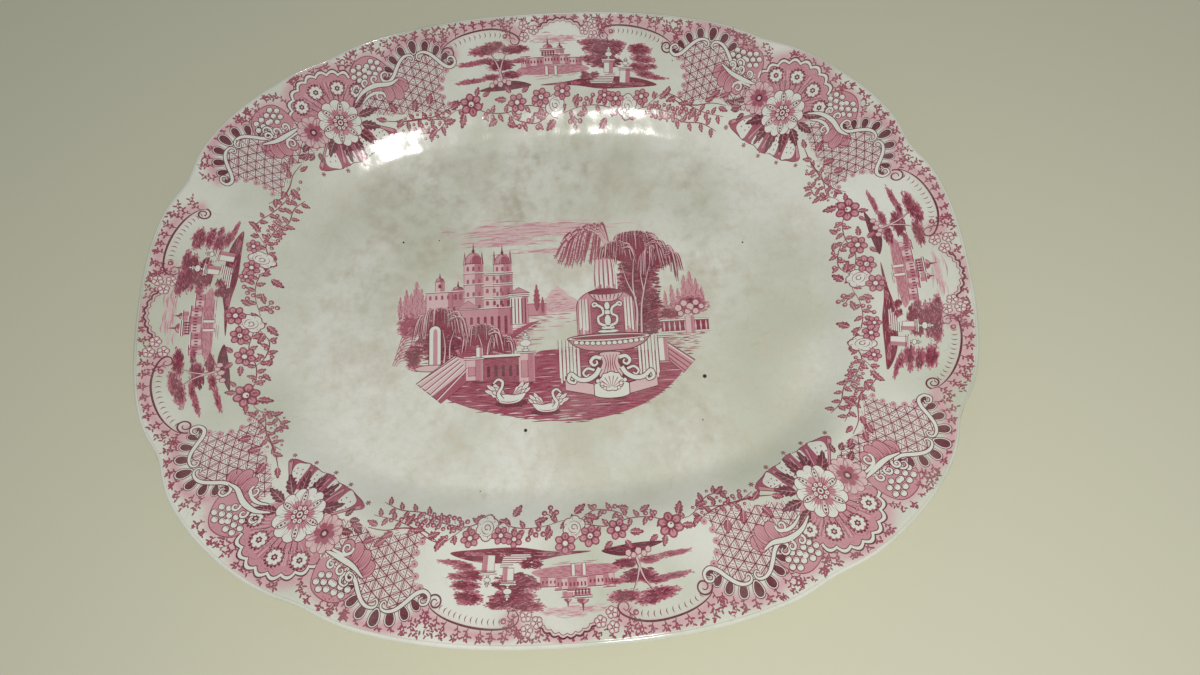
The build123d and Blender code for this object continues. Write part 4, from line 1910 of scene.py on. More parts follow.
@dataclass
class Garland:
    """The garland below a reserve, as (x, y) from the reserve's middle, and leaves below the lattice."""

    blooms: tuple[tuple[float, float, float], ...] = (
        (-55, -47, 1.3), (-27, -48.6, 1.1), (-13, -46.6, 1.15), (-1, -44, 1.1), (24, -46.6, 0.95),
        (31, -48.2, 0.95), (47, -46.4, 1.1),
    )
    leaves: tuple[tuple[float, float, float, float], ...] = (
        (-61, -46, 165, 1.0), (-51.5, -43, 60, 0.75), (-47.5, -43.6, 20, 0.75), (-60, -51, 235, 1.0),
        (-33, -47, 170, 1.0), (-30.5, -43.5, 120, 0.75), (-24, -43.4, 30, 0.75), (-10.5, -56.5, 160, 1.05),
        (-5.5, -57.5, 215, 1.0), (5, -50.5, 50, 0.8), (13.5, -54.5, 190, 0.9), (19, -50.8, 40, 0.8),
        (26, -52.5, -20, 0.9), (25.5, -57, 230, 1.0), (40, -57, 15, 0.95), (33, -55.5, 160, 0.9),
        (60, -45.5, 40, 1.0), (-40, -55.5, 200, 0.9), (-34.5, -57.5, -20, 0.9),
    )
    gap: float = 4.2
    berries: tuple[Point, ...] = (
        (-45, -51.6), (-48, -54), (-43, -54.3), (9.5, -48.6), (13.2, -48.4), (12, -51), (-27, -59.5),
        (-24.2, -58.6), (-16, -60.4), (6, -61), (3, -58.6), (9, -58.4), (-21, -57.4), (17, -46.5),
        (53, -51.5), (50, -54),
    )

    def draw(self, sheet: Sheet) -> None:
        """Draws the stems, then the leaves, berries, roses and blossoms over them.

        Args:
            sheet: The sheet to draw on.
        """
        for stem in (
            bend((-66, -49), (-55, -48.5), (-46, -52), (-34, -53), (-22, -50.5), (-12, -52), (0, -54.5)),
            bend((0, -54.5), (10, -52), (20, -51.5), (30, -53), (40, -54.5), (50, -51.5), (62, -52),
                 (76, -53.5)),
            bend((-34, -53), (-27, -57), (-16, -58.5), (-8, -54)), bend((4, -53.5), (6, -57), (9, -58.4)),
            bend((50, -51.5), (56, -47), (61, -43.5), (68, -44), (78, -47.5), (90, -49.5), (104, -49)),
            bend((-66, -49), (-74, -51.5), (-84, -50), (-94, -48.5), (-106, -50.5)),
            bend((62, -52), (76, -55.5), (90, -54.6), (102, -56)), bend((-70, -51), (-80, -56), (-92, -55.5)),
        ):
            sheet.line(stem, (0.25, 0.5, 0.5, 0.25), CRIMSON, 1)
            size = float(np.hypot(*np.diff(stem, axis=0).T).sum())
            for place in range(int(size / self.gap)):
                side = 1 if place % 2 else -1
                x, y, heading = along(stem, (place + 0.6) * self.gap / size)
                sheet.stamp(Motif.LEAF, x, y, heading + 58 * side, 0.62, 1)
                x, y, _ = along(stem + (0, 2.2 * side), (place + 0.9) * self.gap / size)
                sheet.stamp(Motif.BERRY, x, y, 0, 0.8, 1)
        for x, y, turn, size in self.leaves:
            sheet.stamp(Motif.LEAF, x, y, turn, size, 2)
        dice = random.Random(5)
        for place in range(16):
            x = 55 + 1.5 * place
            y = -52.2 - 0.06 * place + (2.5 if place % 2 else -2.6) * dice.uniform(0.7, 1.25)
            sheet.line([(x - 1.6, -52.4), (x, y)], 0.3, CRIMSON, 1)
            sheet.stamp(Motif.BERRY, x, y, 0, dice.uniform(0.95, 1.2), 2)
        for x, y in self.berries:
            sheet.stamp(Motif.BERRY, x, y, 0, 1.15, 3)
        for x, y, radius in ((-5.5, -51, 5.6), (38.5, -51.6, 6.2), (30.5, -50.5, 3.6)):
            rose(sheet, x, y, radius, 25)
        for x, y, size in self.blooms:
            sheet.stamp(Motif.BLOSSOM, x, y, 31 * x, size, 7)

    def under_lattice(self, sheet: Sheet, side: int) -> None:
        """Draws the leaves and berries that close a lattice panel, from its crest.

        Args:
            sheet: The sheet to draw on.
            side: -1 for the crest left of the spray, 1 for the one right of it.
        """
        if side < 0:
            leaves = ((-14, -31.5, 200), (-5, -33, 190), (5, -30.6, 30), (8, -27, 40), (14, -26, 30),
                      (15, -31.5, -10), (23, -29, 10), (0, -34.6, 240))
            stem = bend((-20, -30), (-11, -34), (0, -33.5), (10, -30.5), (20, -29.5))
            berries = ((-9, -36.5), (-5, -38), (3.5, -37), (9, -35.5))
        else:
            leaves = ((-28, -28.5, 150), (-20, -26, 110), (-17, -30.5, 200), (-9, -28, 60), (1, -26.5, 60),
                      (9, -37, 0), (2, -39, 200), (14, -31.5, 20))
            stem = bend((-30, -28), (-20, -31), (-8, -32.6), (4, -33), (14, -30.5), (20, -27))
            berries = ((-4, -32), (-12, -36.5), (-7, -35.5), (-1, -33.5), (-4, -38.5))
        sheet.line(stem, (0.3, 0.8, 0.5, 0.3), CRIMSON, 5)
        for x, y, turn in leaves:
            sheet.stamp(Motif.LEAF, x, y, turn, 0.95, 6)
        for x, y in berries:
            sheet.stamp(Motif.BERRY, x, y, 0, 1.1, 6)


@dataclass
class Fringe:
    """The seaweed sprigs that grow outward from the frames towards the lip."""

    gap: float = 5.2
    top: float = -3.2
    seed: int = 31

    def sprig(self, sheet: Sheet, x: float, y: float, heading: float, dice: random.Random,
              room: float) -> None:
        """Grows one sprig: a curling stem with paired leaflets and a curled tip.

        Args:
            sheet: The sheet to draw on.
            x: Where it stands along the sheet.
            y: Where it stands across the sheet.
            heading: Its first heading in degrees.
            dice: The stream of random numbers.
            room: How far it may reach.
        """
        side = dice.choice((-1, 1))
        size = room * dice.uniform(0.85, 1.25)
        runs = (size * 0.55, 0, -9 * side), (size * 0.5, -12 * side, -30 * side)
        stem = scroll(x, y, heading + side * 22, *runs)
        stem[:, 1] = np.minimum(stem[:, 1], self.top)
        self.leafy(sheet, stem, size, dice)
        if size > 5:
            fork_x, fork_y, bearing = along(stem, dice.uniform(0.15, 0.45))
            twig = scroll(fork_x, fork_y, bearing - side * 55, (size * 0.45, 6 * side, 26 * side))
            twig[:, 1] = np.minimum(twig[:, 1], self.top)
            self.leafy(sheet, twig, size * 0.45, dice)

    def leafy(self, sheet: Sheet, stem: np.ndarray, size: float, dice: random.Random) -> None:
        """Draws a stem with leaflets at both its sides.

        Args:
            sheet: The sheet to draw on.
            stem: The stem's points.
            size: The stem's length.
            dice: The stream of random numbers.
        """
        sheet.line(stem, (0.45, 0.3, 0.15), CRIMSON, 1)
        count = max(3, int(size / 1.15))
        for place in range(count):
            x, y, bearing = along(stem, (place + 1.0) / count)
            swing = 62 if place % 2 else -62
            sheet.stamp(Motif.LEAFLET, x, min(y, self.top - 0.8), bearing + swing, dice.uniform(0.7, 1.0), 1)

    def draw(self, sheet: Sheet, skyline: list[np.ndarray]) -> None:
        """Grows sprigs along the skyline's outer side, each turned away from it.

        Args:
            sheet: The sheet to draw on.
            skyline: The lines that the sprigs grow from.
        """
        dice = random.Random(self.seed)
        for line in skyline:
            size = float(np.hypot(*np.diff(line, axis=0).T).sum())
            count = max(1, round(size / self.gap))
            for place in range(count):
                x, y, heading = along(line, (place + 0.5) / count)
                up = heading + 90 if math.cos(heading * DEGREE) > 0 else heading - 90
                if y < -16 or math.sin(up * DEGREE) < 0.25:
                    continue
                room = min(self.top - y + 1.0, 9.5)
                if room > 2.0:
                    start = y + 0.6
                    self.sprig(sheet, x, start, up * 0.6 + 36, dice, room)


@dataclass(frozen=True)
class Quarter:
    """Where one quarter's transfer pieces were laid, along the lip from the middle of the far side."""

    reserve: float
    crest: float
    shell: float
    last_crest: float


@dataclass
class PrintedBorder:
    """The border print: four quarters of reserve, crests, lattice, corner spray, fringe and garland."""

    border: Border
    wash: Wash
    quarters: tuple[Quarter, ...] = (
        Quarter(9.0, 92.5, 148.0, 207.0),
        Quarter(295.5, 384.5, 445.5, 501.0),
        Quarter(588.0, 672.0, 730.0, 792.5),
        Quarter(880.0, 983.0, 1041.0, 1099.0),
    )
    skyline: list[np.ndarray] = field(default_factory=list)

    def sheet(self) -> Sheet:
        """Starts a sheet that is laid round the band."""
        return Sheet(self.border.place)

    def grow_from(self, lines: list[np.ndarray], x: float, y: float = 0) -> None:
        """Notes lines that the fringe grows from, given in a frame at (x, y)."""
        self.skyline += [line + (x, y) for line in lines]

    def scrolls(self) -> Sheet:
        """Draws the reserve frames and the crests.

        Returns:
            The sheet.
        """
        sheet = self.sheet()
        for quarter in self.quarters:
            with sheet.at(quarter.reserve):
                self.grow_from(Frame().draw(sheet, self.wash), quarter.reserve)
            for x, y in ((quarter.crest, -13.5), (quarter.last_crest, -16.5)):
                with sheet.at(x, y):
                    self.grow_from(Crest().draw(sheet, self.wash), x, y)
        return sheet

    def lattices(self) -> Sheet:
        """Draws the lattice panels and their beaded edges.

        Returns:
            The sheet.
        """
        sheet = self.sheet()
        left = np.array([(-20, -7), (-12, -1.5), (-6, 2), (0, -1), (6, 2), (12, -1.5), (20, -7), (30, -9),
                         (41, -17), (42, -28), (26, -30), (14, -27), (0, -31), (-8, -33), (-11, -28),
                         (-10, -21), (-12, -14), (-15, -10)], float)
        right = np.array([(-37, -12), (-24, -8), (-12, -1.5), (-6, 2), (0, -1), (6, 2), (12, -1.5), (19, -7),
                          (15, -10), (12, -14), (10, -21), (11, -28), (14, -32), (6, -33), (-4, -29),
                          (-16, -28), (-28, -25), (-38, -20)], float)
        for quarter in self.quarters:
            for x, y, outline, edge in (
                (quarter.crest, -13.5, left, ((-16.5, -9.5), (-13, -14), (-11, -19), (-10.5, -24),
                                              (-12, -29))),
                (quarter.last_crest, -16.5, right, ((15.8, -9.8), (12.6, -14), (11, -19), (11, -24),
                                                    (14, -28.5))),
            ):
                with sheet.at(x, y):
                    Lattice(outline).draw(sheet)
                    for bead_x, bead_y in edge:
                        sheet.stamp(Motif.BEAD, bead_x, bead_y, 0, 1.0, 4)
        return sheet

    def corners(self) -> Sheet:
        """Draws the corner sprays.

        Returns:
            The sheet.
        """
        sheet = self.sheet()
        for quarter in self.quarters:
            with sheet.at(quarter.shell):
                self.grow_from(Corner().draw(sheet, self.wash), quarter.shell)
        return sheet

    def garlands(self) -> Sheet:
        """Draws the garland all round.

        Returns:
            The sheet.
        """
        sheet = self.sheet()
        garland = Garland()
        for quarter in self.quarters:
            with sheet.at(quarter.reserve):
                garland.draw(sheet)
            for x, y, side in ((quarter.crest, -13.5, -1), (quarter.last_crest, -16.5, 1)):
                with sheet.at(x, y):
                    garland.under_lattice(sheet, side)
        return sheet

    def fringe(self) -> Sheet:
        """Draws the sprigs that grow from everything noted so far.

        Returns:
            The sheet.
        """
        sheet = self.sheet()
        Fringe().draw(sheet, self.skyline)
        return sheet


# ---------------------------------------------------------------- the printed views


@dataclass
class Burin:
    """The engraver's hand: foliage, masonry, water and sky, drawn on a sheet with one seeded stream."""

    sheet: Sheet
    dice: random.Random

    def foliage(self, x: float, y: float, width: float, height: float, dark: float = 0.5, base: int = 3,
                turn: float = 0, size: float = 1.0) -> None:
        """Draws a canopy in flat strokes, dark at its heart and ragged at its edge.

        Args:
            x: Its middle's place along the sheet.
            y: Its middle's place across the sheet.
            width: How wide it is.
            height: How tall it is.
            dark: How much of it is dark, from 0 to 1.
            base: Its lowest layer.
            turn: Degrees anticlockwise.
            size: The scale of its strokes.
        """
        dice = self.dice
        with self.sheet.at(x, y, turn):
            points = rosette(1, 9, 0.16, dice.uniform(0, 90), 4) * (width / 2, height / 2)
            points *= np.array([dice.uniform(0.84, 1.08) for _ in points])[:, None]
            self.sheet.patch(points, BLUSH, base, 2.4)
            self.sheet.patch(points * 0.84, ROSE, base + 1, 2.4)
            if dark > 0.3:
                self.sheet.patch(points * (0.6, 0.55) + (0, -height * 0.08), CRIMSON, base + 2, 2.4)
            for _ in range(int(width * height * 0.62 / size**2) + 5):
                angle, reach = dice.uniform(0, FULL), dice.random() ** 0.5
                across, up = width / 2 * reach * math.cos(angle), height / 2 * reach * math.sin(angle)
                spot = (across * 1.06, up * 1.04)
                deep = reach < 0.3 + dark * 0.7 and dice.random() < 0.2 + dark * 0.55
                self.sheet.stamp(Motif.TUFT if deep else Motif.DAB, *spot, dice.uniform(-14, 14),
                                 dice.uniform(0.6, 1.05) * size, base + 3)
                if not deep and dice.random() < 0.3:
                    glint = [(spot[0], spot[1] + 0.5), (spot[0] + 1.2 * size, spot[1] + 0.65)]
                    self.sheet.line(glint, (0.1, 0.32, 0.1), MIST, base + 4)

    def drooping(self, x: float, y: float, radius: float, fronds: int, base: int = 3,
                 drop: float = 1.0) -> None:
        """Draws a dome of weeping fronds over a dark heart.

        Args:
            x: Its middle's place along the sheet.
            y: Its middle's place across the sheet.
            radius: Its radius.
            fronds: How many fronds.
            base: Its lowest layer.
            drop: How far they hang, as a share.
        """
        dice = self.dice
        dome = np.vstack([arc(x, y, radius * 0.86, 180, 0, 0.92), arc(x, y, radius * 0.8, 0, -180, 0.4)])
        self.sheet.patch(dome, ROSE, base, 2.4)
        self.sheet.patch(dome * 0.86 + np.array([x, y]) * 0.14 - (0, radius * 0.06), CRIMSON, base + 1, 2.4)
        for place in range(fronds):
            share = (place + dice.random()) / fronds
            turn = (196 - 212 * share) * DEGREE
            start = (x + radius * 0.32 * math.cos(turn), y + radius * (0.2 + 0.45 * abs(math.sin(turn))))
            far = radius * dice.uniform(0.78, 1.14)
            side = math.cos(turn)
            end = (x + far * side, y - radius * drop * (0.15 + 0.5 * abs(side)) * dice.uniform(0.4, 1.1)
                   + radius * 0.32 * (1 - abs(side)))
            crown = (x + far * side * 0.78, y + radius * (0.3 + 0.5 * max(math.sin(turn), 0.0)))
            path, up = bend(start, crown, end, step=1.3), base + 2 + place * 3 / fronds
            self.sheet.line(path, (0.3, 0.6, 0.42, 0.15), MIST if place % 3 else BLUSH, up + 0.5)
            self.sheet.line(path + (0.5 * side, -0.55), (0.2, 1.1, 0.9, 0.2), CRIMSON, up)
            self.sheet.line(path + (-0.55 * side, -0.4), (0.2, 0.4, 0.2), WINE, up + 0.5)

    def trunk(self, path: np.ndarray, width: float, layer: int = 9) -> None:
        """Draws a pale trunk with a dark side."""
        self.sheet.line(path, (width * 1.5, width, width * 0.5), WINE, layer)
        self.sheet.line(path + (-width * 0.12, 0), (width * 0.9, width * 0.55, width * 0.2), MIST, layer + 1)

    def box(self, x: float, y: float, width: float, height: float, ink: Ink = MIST, layer: int = 3,
            shade: float = 0.35) -> None:
        """Draws a wall from its left foot, outlined, with a hatched shaded side.

        Args:
            x: Where it stands along the sheet.
            y: Where it stands across the sheet.
            width: How wide it is.
            height: How tall it is.
            ink: Its tone.
            layer: Its lowest layer.
            shade: The share of its width that is shaded.
        """
        self.sheet.edged(oblong(x, y, width, height), ink, ROSE, 0.3, layer, 2.4)
        if shade:
            start = x + width * (1 - shade)
            self.sheet.patch(oblong(start, y, x + width - start, height), BLUSH, layer + 1, 2.4)
            for place in range(int(width * shade / 0.55)):
                across = start + 0.55 * place
                self.sheet.line([(across, y), (across, y + height)], 0.2, ROSE, layer + 2, 2.4)

    def windows(self, x: float, y: float, across: float, count: int, height: float, ink: Ink = WINE,
                layer: int = 6) -> None:
        """Draws a row of arched openings.

        Args:
            x: Where it stands along the sheet.
            y: Where it stands across the sheet.
            across: The row's width.
            count: How many of them.
            height: The openings' height.
            ink: Its tone.
            layer: Its lowest layer.
        """
        for place in range(count):
            left = x + across * (place + 0.28) / count
            wide = across / count * 0.42
            head = arc(left + wide / 2, y + height - wide / 2, wide / 2, 180, 0, step=0.4)[::-1]
            self.sheet.patch(np.vstack([[(left, y), (left + wide, y)], head]), ink, layer)

    def courses(self, x: float, y: float, width: float, count: int, pitch: float, layer: int = 6) -> None:
        """Draws cornices: a pale line over a dark one, stepped up the wall.

        Args:
            x: Where it stands along the sheet.
            y: Where it stands across the sheet.
            width: How wide it is.
            count: How many of them.
            pitch: From one to the next.
            layer: Its lowest layer.
        """
        for place in range(count):
            up = y + pitch * place
            for level, wide, ink in ((up, 0.34, CRIMSON), (up + 0.4, 0.42, WHITE)):
                self.sheet.line([(x - 0.4, level), (x + width + 0.4, level)], wide, ink, layer, 2.4)

    def dome(self, x: float, y: float, radius: float, layer: int = 4, rise: float = 1.3) -> None:
        """Draws a ribbed dome with a finial, from the middle of its foot.

        Args:
            x: Where it stands along the sheet.
            y: Where it stands across the sheet.
            radius: Its radius.
            layer: Its lowest layer.
            rise: Its height as a share of its radius.
        """
        half = arc(x, y, radius, 0, 180, rise, 0.5)
        self.sheet.edged(half, BLUSH, CRIMSON, 0.3, layer)
        self.sheet.patch(arc(x + radius * 0.3, y, radius * 0.68, 0, 180, rise * 1.1, 0.5), ROSE, layer + 2)
        for share in (-0.55, -0.2, 0.2, 0.55):
            rib = bend((x + radius * share, y), (x + radius * share * 0.86, y + radius * rise * 0.6),
                       (x, y + radius * rise), step=0.7)
            self.sheet.line(rib, 0.17, MIST if share < 0 else CRIMSON, layer + 3)
        top = y + radius * rise
        self.sheet.line([(x, top - 0.3), (x, top + radius * 1.3)], (1.2, 0.5, 0.12), CRIMSON, layer + 3)
        self.sheet.patch(dot(radius * 0.2, 7) + (x, top + radius * 0.2), WINE, layer + 3)

    def gable(self, x: float, y: float, width: float, height: float, layer: int = 6) -> None:
        """Draws a pediment."""
        self.sheet.edged(
            [(x - 0.6, y), (x + width + 0.6, y), (x + width / 2, y + height)], BLUSH, WINE, 0.34, layer,
        )

    def cypress(self, x: float, y: float, height: float, tone: Ink = ROSE, layer: int = 1) -> None:
        """Draws a slim cypress.

        Args:
            x: Where it stands along the sheet.
            y: Where it stands across the sheet.
            height: How tall it is.
            tone: Its tone.
            layer: Its lowest layer.
        """
        with self.sheet.at(x, y, 90):
            self.sheet.patch(blade(height, height * 0.24, 6), tone, layer, 2.4)
            for place in range(int(height / 1.4)):
                across = self.dice.uniform(-0.07, 0.07) * height
                twig = [(place * 1.3 + 0.5, across), (place * 1.3 + 2.2, across * 0.6)]
                self.sheet.line(twig, (0.3, 0.1), CRIMSON, layer + 1)

    def ripples(self, outline: Path, ink: Ink, layer: int, gap: float, width: float, share: float = 0.7,
                size: float = 7) -> None:
        """Fills an outline with level strokes of uneven length.

        Args:
            outline: The closed outline.
            ink: Its tone.
            layer: The layer they lie on.
            gap: From one row to the next.
            width: The strokes' width.
            share: How many of the strokes are drawn, from 0 to 1.
            size: The strokes' usual length.
        """
        outline = np.asarray(outline, float)
        low, high = outline.min(0), outline.max(0)
        y = low[1] + gap
        while y < high[1]:
            x = low[0] + self.dice.uniform(0, size)
            while x < high[0]:
                run = self.dice.uniform(0.4, 1.3) * size
                ends = np.array([(x, y), (x + run / 2, y + 0.12), (x + run, y)])
                if inside(outline, ends).all() and self.dice.random() < share:
                    self.sheet.line(ends, (0.1, width, 0.1), ink, layer, 2.2)
                x += run + self.dice.uniform(0.2, 0.6) * size * (1.2 - share)
            y += gap * self.dice.uniform(0.8, 1.2)

    def cloud(self, x: float, y: float, width: float, height: float, count: int) -> None:
        """Draws a soft cloud of level strokes, thinner towards its lower edge.

        Args:
            x: Its middle's place along the sheet.
            y: Its middle's place across the sheet.
            width: How wide it is.
            height: How tall it is.
            count: How many strokes.
        """
        for place in range(count):
            across = self.dice.gauss(0, 0.24) * width
            up = self.dice.gauss(0, 0.24) * height
            run = self.dice.uniform(3, 9) * width / 60
            ink = MIST if self.dice.random() < 0.62 else BLUSH
            ends = (x + across - run, y + up), (x + across, y + up + 0.5), (x + across + run, y + up)
            path = bend(*ends, step=1.8)
            self.sheet.line(path, (0.1, 0.62, 0.1), ink, place * 4 / count)

    def rail(self, x: float, y: float, width: float, height: float, count: int, layer: int = 5) -> None:
        """Draws a balustrade with its coping.

        Args:
            x: Where it stands along the sheet.
            y: Where it stands across the sheet.
            width: How wide it is.
            height: How tall it is.
            count: How many balusters.
            layer: Its lowest layer.
        """
        self.box(x, y, width, height * 0.82, CRIMSON, layer, 0)
        for place in range(count):
            across = x + width * (place + 0.5) / count
            baluster = [(across, y + 0.3), (across, y + height * 0.4), (across, y + height * 0.78)]
            self.sheet.line(baluster, (0.35, 0.95, 0.35), MIST, layer + 2)
        for up in (y + height * 0.9, y + 0.1):
            for wide, ink, level in ((0.9, WINE, layer + 2), (0.6, WHITE, layer + 3)):
                self.sheet.line([(x - 0.5, up), (x + width + 0.5, up)], wide, ink, level, 2.4)

    def urn(self, x: float, y: float, size: float, layer: int = 8) -> None:
        """Draws an urn on its foot.

        Args:
            x: Where it stands along the sheet.
            y: Where it stands across the sheet.
            size: Its scale.
            layer: Its lowest layer.
        """
        for up, wide, tall in (
            (0, 1.6, 0.5), (0.5, 0.7, 0.6), (1.1, 2.4, 1.4), (2.5, 1.4, 0.4), (2.9, 1.9, 0.4),
            (3.3, 0.7, 0.7),
        ):
            middle = (x, y + (up + tall / 2) * size)
            self.sheet.edged(rosette(1, 8, 0, 22, 1) * (wide * size / 2, tall * size / 1.8) + middle, WHITE,
                             WINE, 0.24, layer)


@dataclass
class ReserveView:
    """A small landscape with a castle and a garden, as (x, y) from the reserve's middle."""

    seed: int

    def castle(self, hand: Burin) -> None:
        """Draws the clouds and the castle on its hill.

        Args:
            hand: The burin that draws.
        """
        sheet = hand.sheet
        hand.cloud(-3, -15.5, 32, 5.5, 60)
        hill = bend((-26, -31), (-18, -28.6), (-4, -29.5), (8, -29), (15, -32), (6, -34), (-10, -34.5),
                    (-24, -33.6), closed=True)
        sheet.patch(hill, BLUSH, 0, 2.2)
        hand.ripples(hill, ROSE, 1, 0.6, 0.34, 0.9, 4)
        for x, y, width, height in (
            (-23, -30, 5, 6), (-18.6, -29.5, 8, 4.6), (-10.6, -29, 9, 5.4), (-2, -29, 6, 5), (3, -29.6, 8, 4),
        ):
            hand.box(x, y, width, height, MIST, 2, 0.45)
            count = max(2, round(width / 1.9))
            hand.windows(x + 0.4, y + height * 0.35, width - 0.8, count, height * 0.34, CRIMSON)
            hand.courses(x, y + height, width, 1, 0, 6)
        hand.box(-11.6, -24.4, 7.4, 3.2, BLUSH, 3, 0.3)
        hand.windows(-11.6, -24, 7.4, 5, 2.4, WINE)
        hand.courses(-12, -21.2, 8.2, 2, 0.9, 7)
        hand.dome(-8, -20, 2.6, 5, 0.8)
        hand.box(-3.6, -24.2, 4.4, 3.4, BLUSH, 3, 0.4)
        hand.courses(-4, -20.8, 5.2, 1, 0, 7)
        hand.dome(-1.4, -20.4, 1.6, 5, 0.9)
        for x in (-10, -5):
            hand.box(x, -35, 1.8, 5.2, WHITE, 5, 0.25)

    def bank(self, hand: Burin) -> None:
        """Draws the trees and flowers on the dark bank at the left.

        Args:
            hand: The burin that draws.
        """
        sheet = hand.sheet
        for x, y, width, height, dark in (
            (-43.5, -19, 19, 6, 0.45), (-38, -17, 14, 5, 0.6), (-27, -19.6, 17, 5.5, 0.65),
            (-52, -25.2, 17, 3, 0.15), (-35, -27.5, 17, 6.5, 0.9), (-44, -24.6, 14, 3.4, 0.3),
            (-24, -26, 10, 3, 0.3), (-53, -34.6, 20, 3, 0.15), (-41, -33.6, 12, 4, 0.35),
            (-29, -33.4, 13, 5, 0.6),
        ):
            hand.foliage(x, y, width, height, dark)
        hand.trunk(bend((-34.5, -36), (-35.5, -31), (-37, -26), (-40, -21)), 1.3)
        hand.trunk(bend((-35.3, -31), (-33.6, -26), (-31, -21)), 0.9)
        ground = bend(
            (-49, -40.4), (-38, -38), (-28, -36.6), (-18, -39.6), (-28, -41.4), (-40, -41.6), closed=True,
        )
        sheet.patch(ground, WINE, 2, 2.2)
        hand.ripples(ground, ROSE, 3, 0.8, 0.3, 0.5, 5)
        for x, y, radius in (
            (-41, -38.2, 1.5), (-38.6, -36.6, 1.5), (-36, -38, 1.7), (-33.4, -36.4, 1.4), (-31, -37.6, 1.6),
        ):
            with sheet.at(x, y):
                sheet.edged(rosette(radius, 5, 0.12, 20 * x, 4), MIST, CRIMSON, 0.35, 9)

    def garden(self, hand: Burin) -> None:
        """Draws the trees at the right, the pool, the stairs and the urns on their piers.

        Args:
            hand: The burin that draws.
        """
        sheet = hand.sheet
        for x, y, width, height, dark in (
            (23, -21, 23, 10, 0.75), (16, -17.6, 15, 5, 0.5), (30, -18.4, 12, 4.6, 0.5),
            (23, -28, 20, 8, 0.9), (14, -26.4, 9, 4, 0.3), (44, -21, 15, 7, 0.55), (46, -26, 15, 5, 0.5),
            (44, -30.6, 14, 6, 0.5), (54, -35.4, 17, 2.6, 0.15), (51, -29.6, 9, 3, 0.2),
            (48, -34, 12, 4, 0.4),
        ):
            hand.foliage(x, y, width, height, dark)
        band = bend((-13, -40), (2, -38.6), (12, -37), (30, -36), (45, -36.6), (56, -39.4), (40, -42),
                    (22, -43), (6, -41), closed=True)
        sheet.patch(band, CRIMSON, 2, 2.2)
        hand.ripples(band, WINE, 3, 0.55, 0.45, 0.9, 6)
        hand.ripples(band, BLUSH, 4, 1.3, 0.3, 0.4, 5)
        hand.ripples([(-16, -37.5), (14, -35), (12, -32.6), (-20, -35.2)], ROSE, 1, 0.8, 0.3, 0.7, 7)
        for step in range(6):
            hand.box(15.6 + 2.2 * step, -40 + 0.95 * step, 13 - 1.9 * step, 1.0, WHITE, 8, 0)
            hand.courses(15.6 + 2.2 * step, -39.2 + 0.95 * step, 12 - 1.9 * step, 1, 0, 10)
        for x, y, width, height in (
            (23.5, -34, 5.2, 6), (33, -39.5, 6, 7.5), (22.5, -28.6, 7, 1.2), (32, -32.6, 8, 1.2),
        ):
            hand.box(x, y, width, height, WHITE, 9, 0.4)
            hand.courses(x, y + height, width, 1, 0, 12)
        hand.urn(26.1, -27.2, 1.75, 10)
        hand.urn(36, -31.2, 1.35, 10)
        for x in (12.5, 18):
            hand.foliage(x, -35.5, 5.4, 4.4, 0.8, 6)
            sheet.line([(x, -36.5), (x, -39)], 1.3, WINE, 6)
        for x in (-1, 7, 28, 41, 46):
            hand.foliage(x, -39.8, 6, 1.7, 0.2, 6)

    def draw(self, sheet: Sheet) -> None:
        """Draws the landscape from its far parts to its near ones.

        Args:
            sheet: The sheet to draw on.
        """
        hand = Burin(sheet, random.Random(self.seed))
        self.castle(hand)
        self.bank(hand)
        self.garden(hand)


def reserve_views(band: PrintedBorder) -> Sheet:
    """Draws the four reserves' views.

    Args:
        band: The border that holds the reserves.

    Returns:
        The sheet.
    """
    sheet = band.sheet()
    for place, quarter in enumerate(band.quarters):
        with sheet.at(quarter.reserve):
            ReserveView(seed=61 + place).draw(sheet)
    return sheet


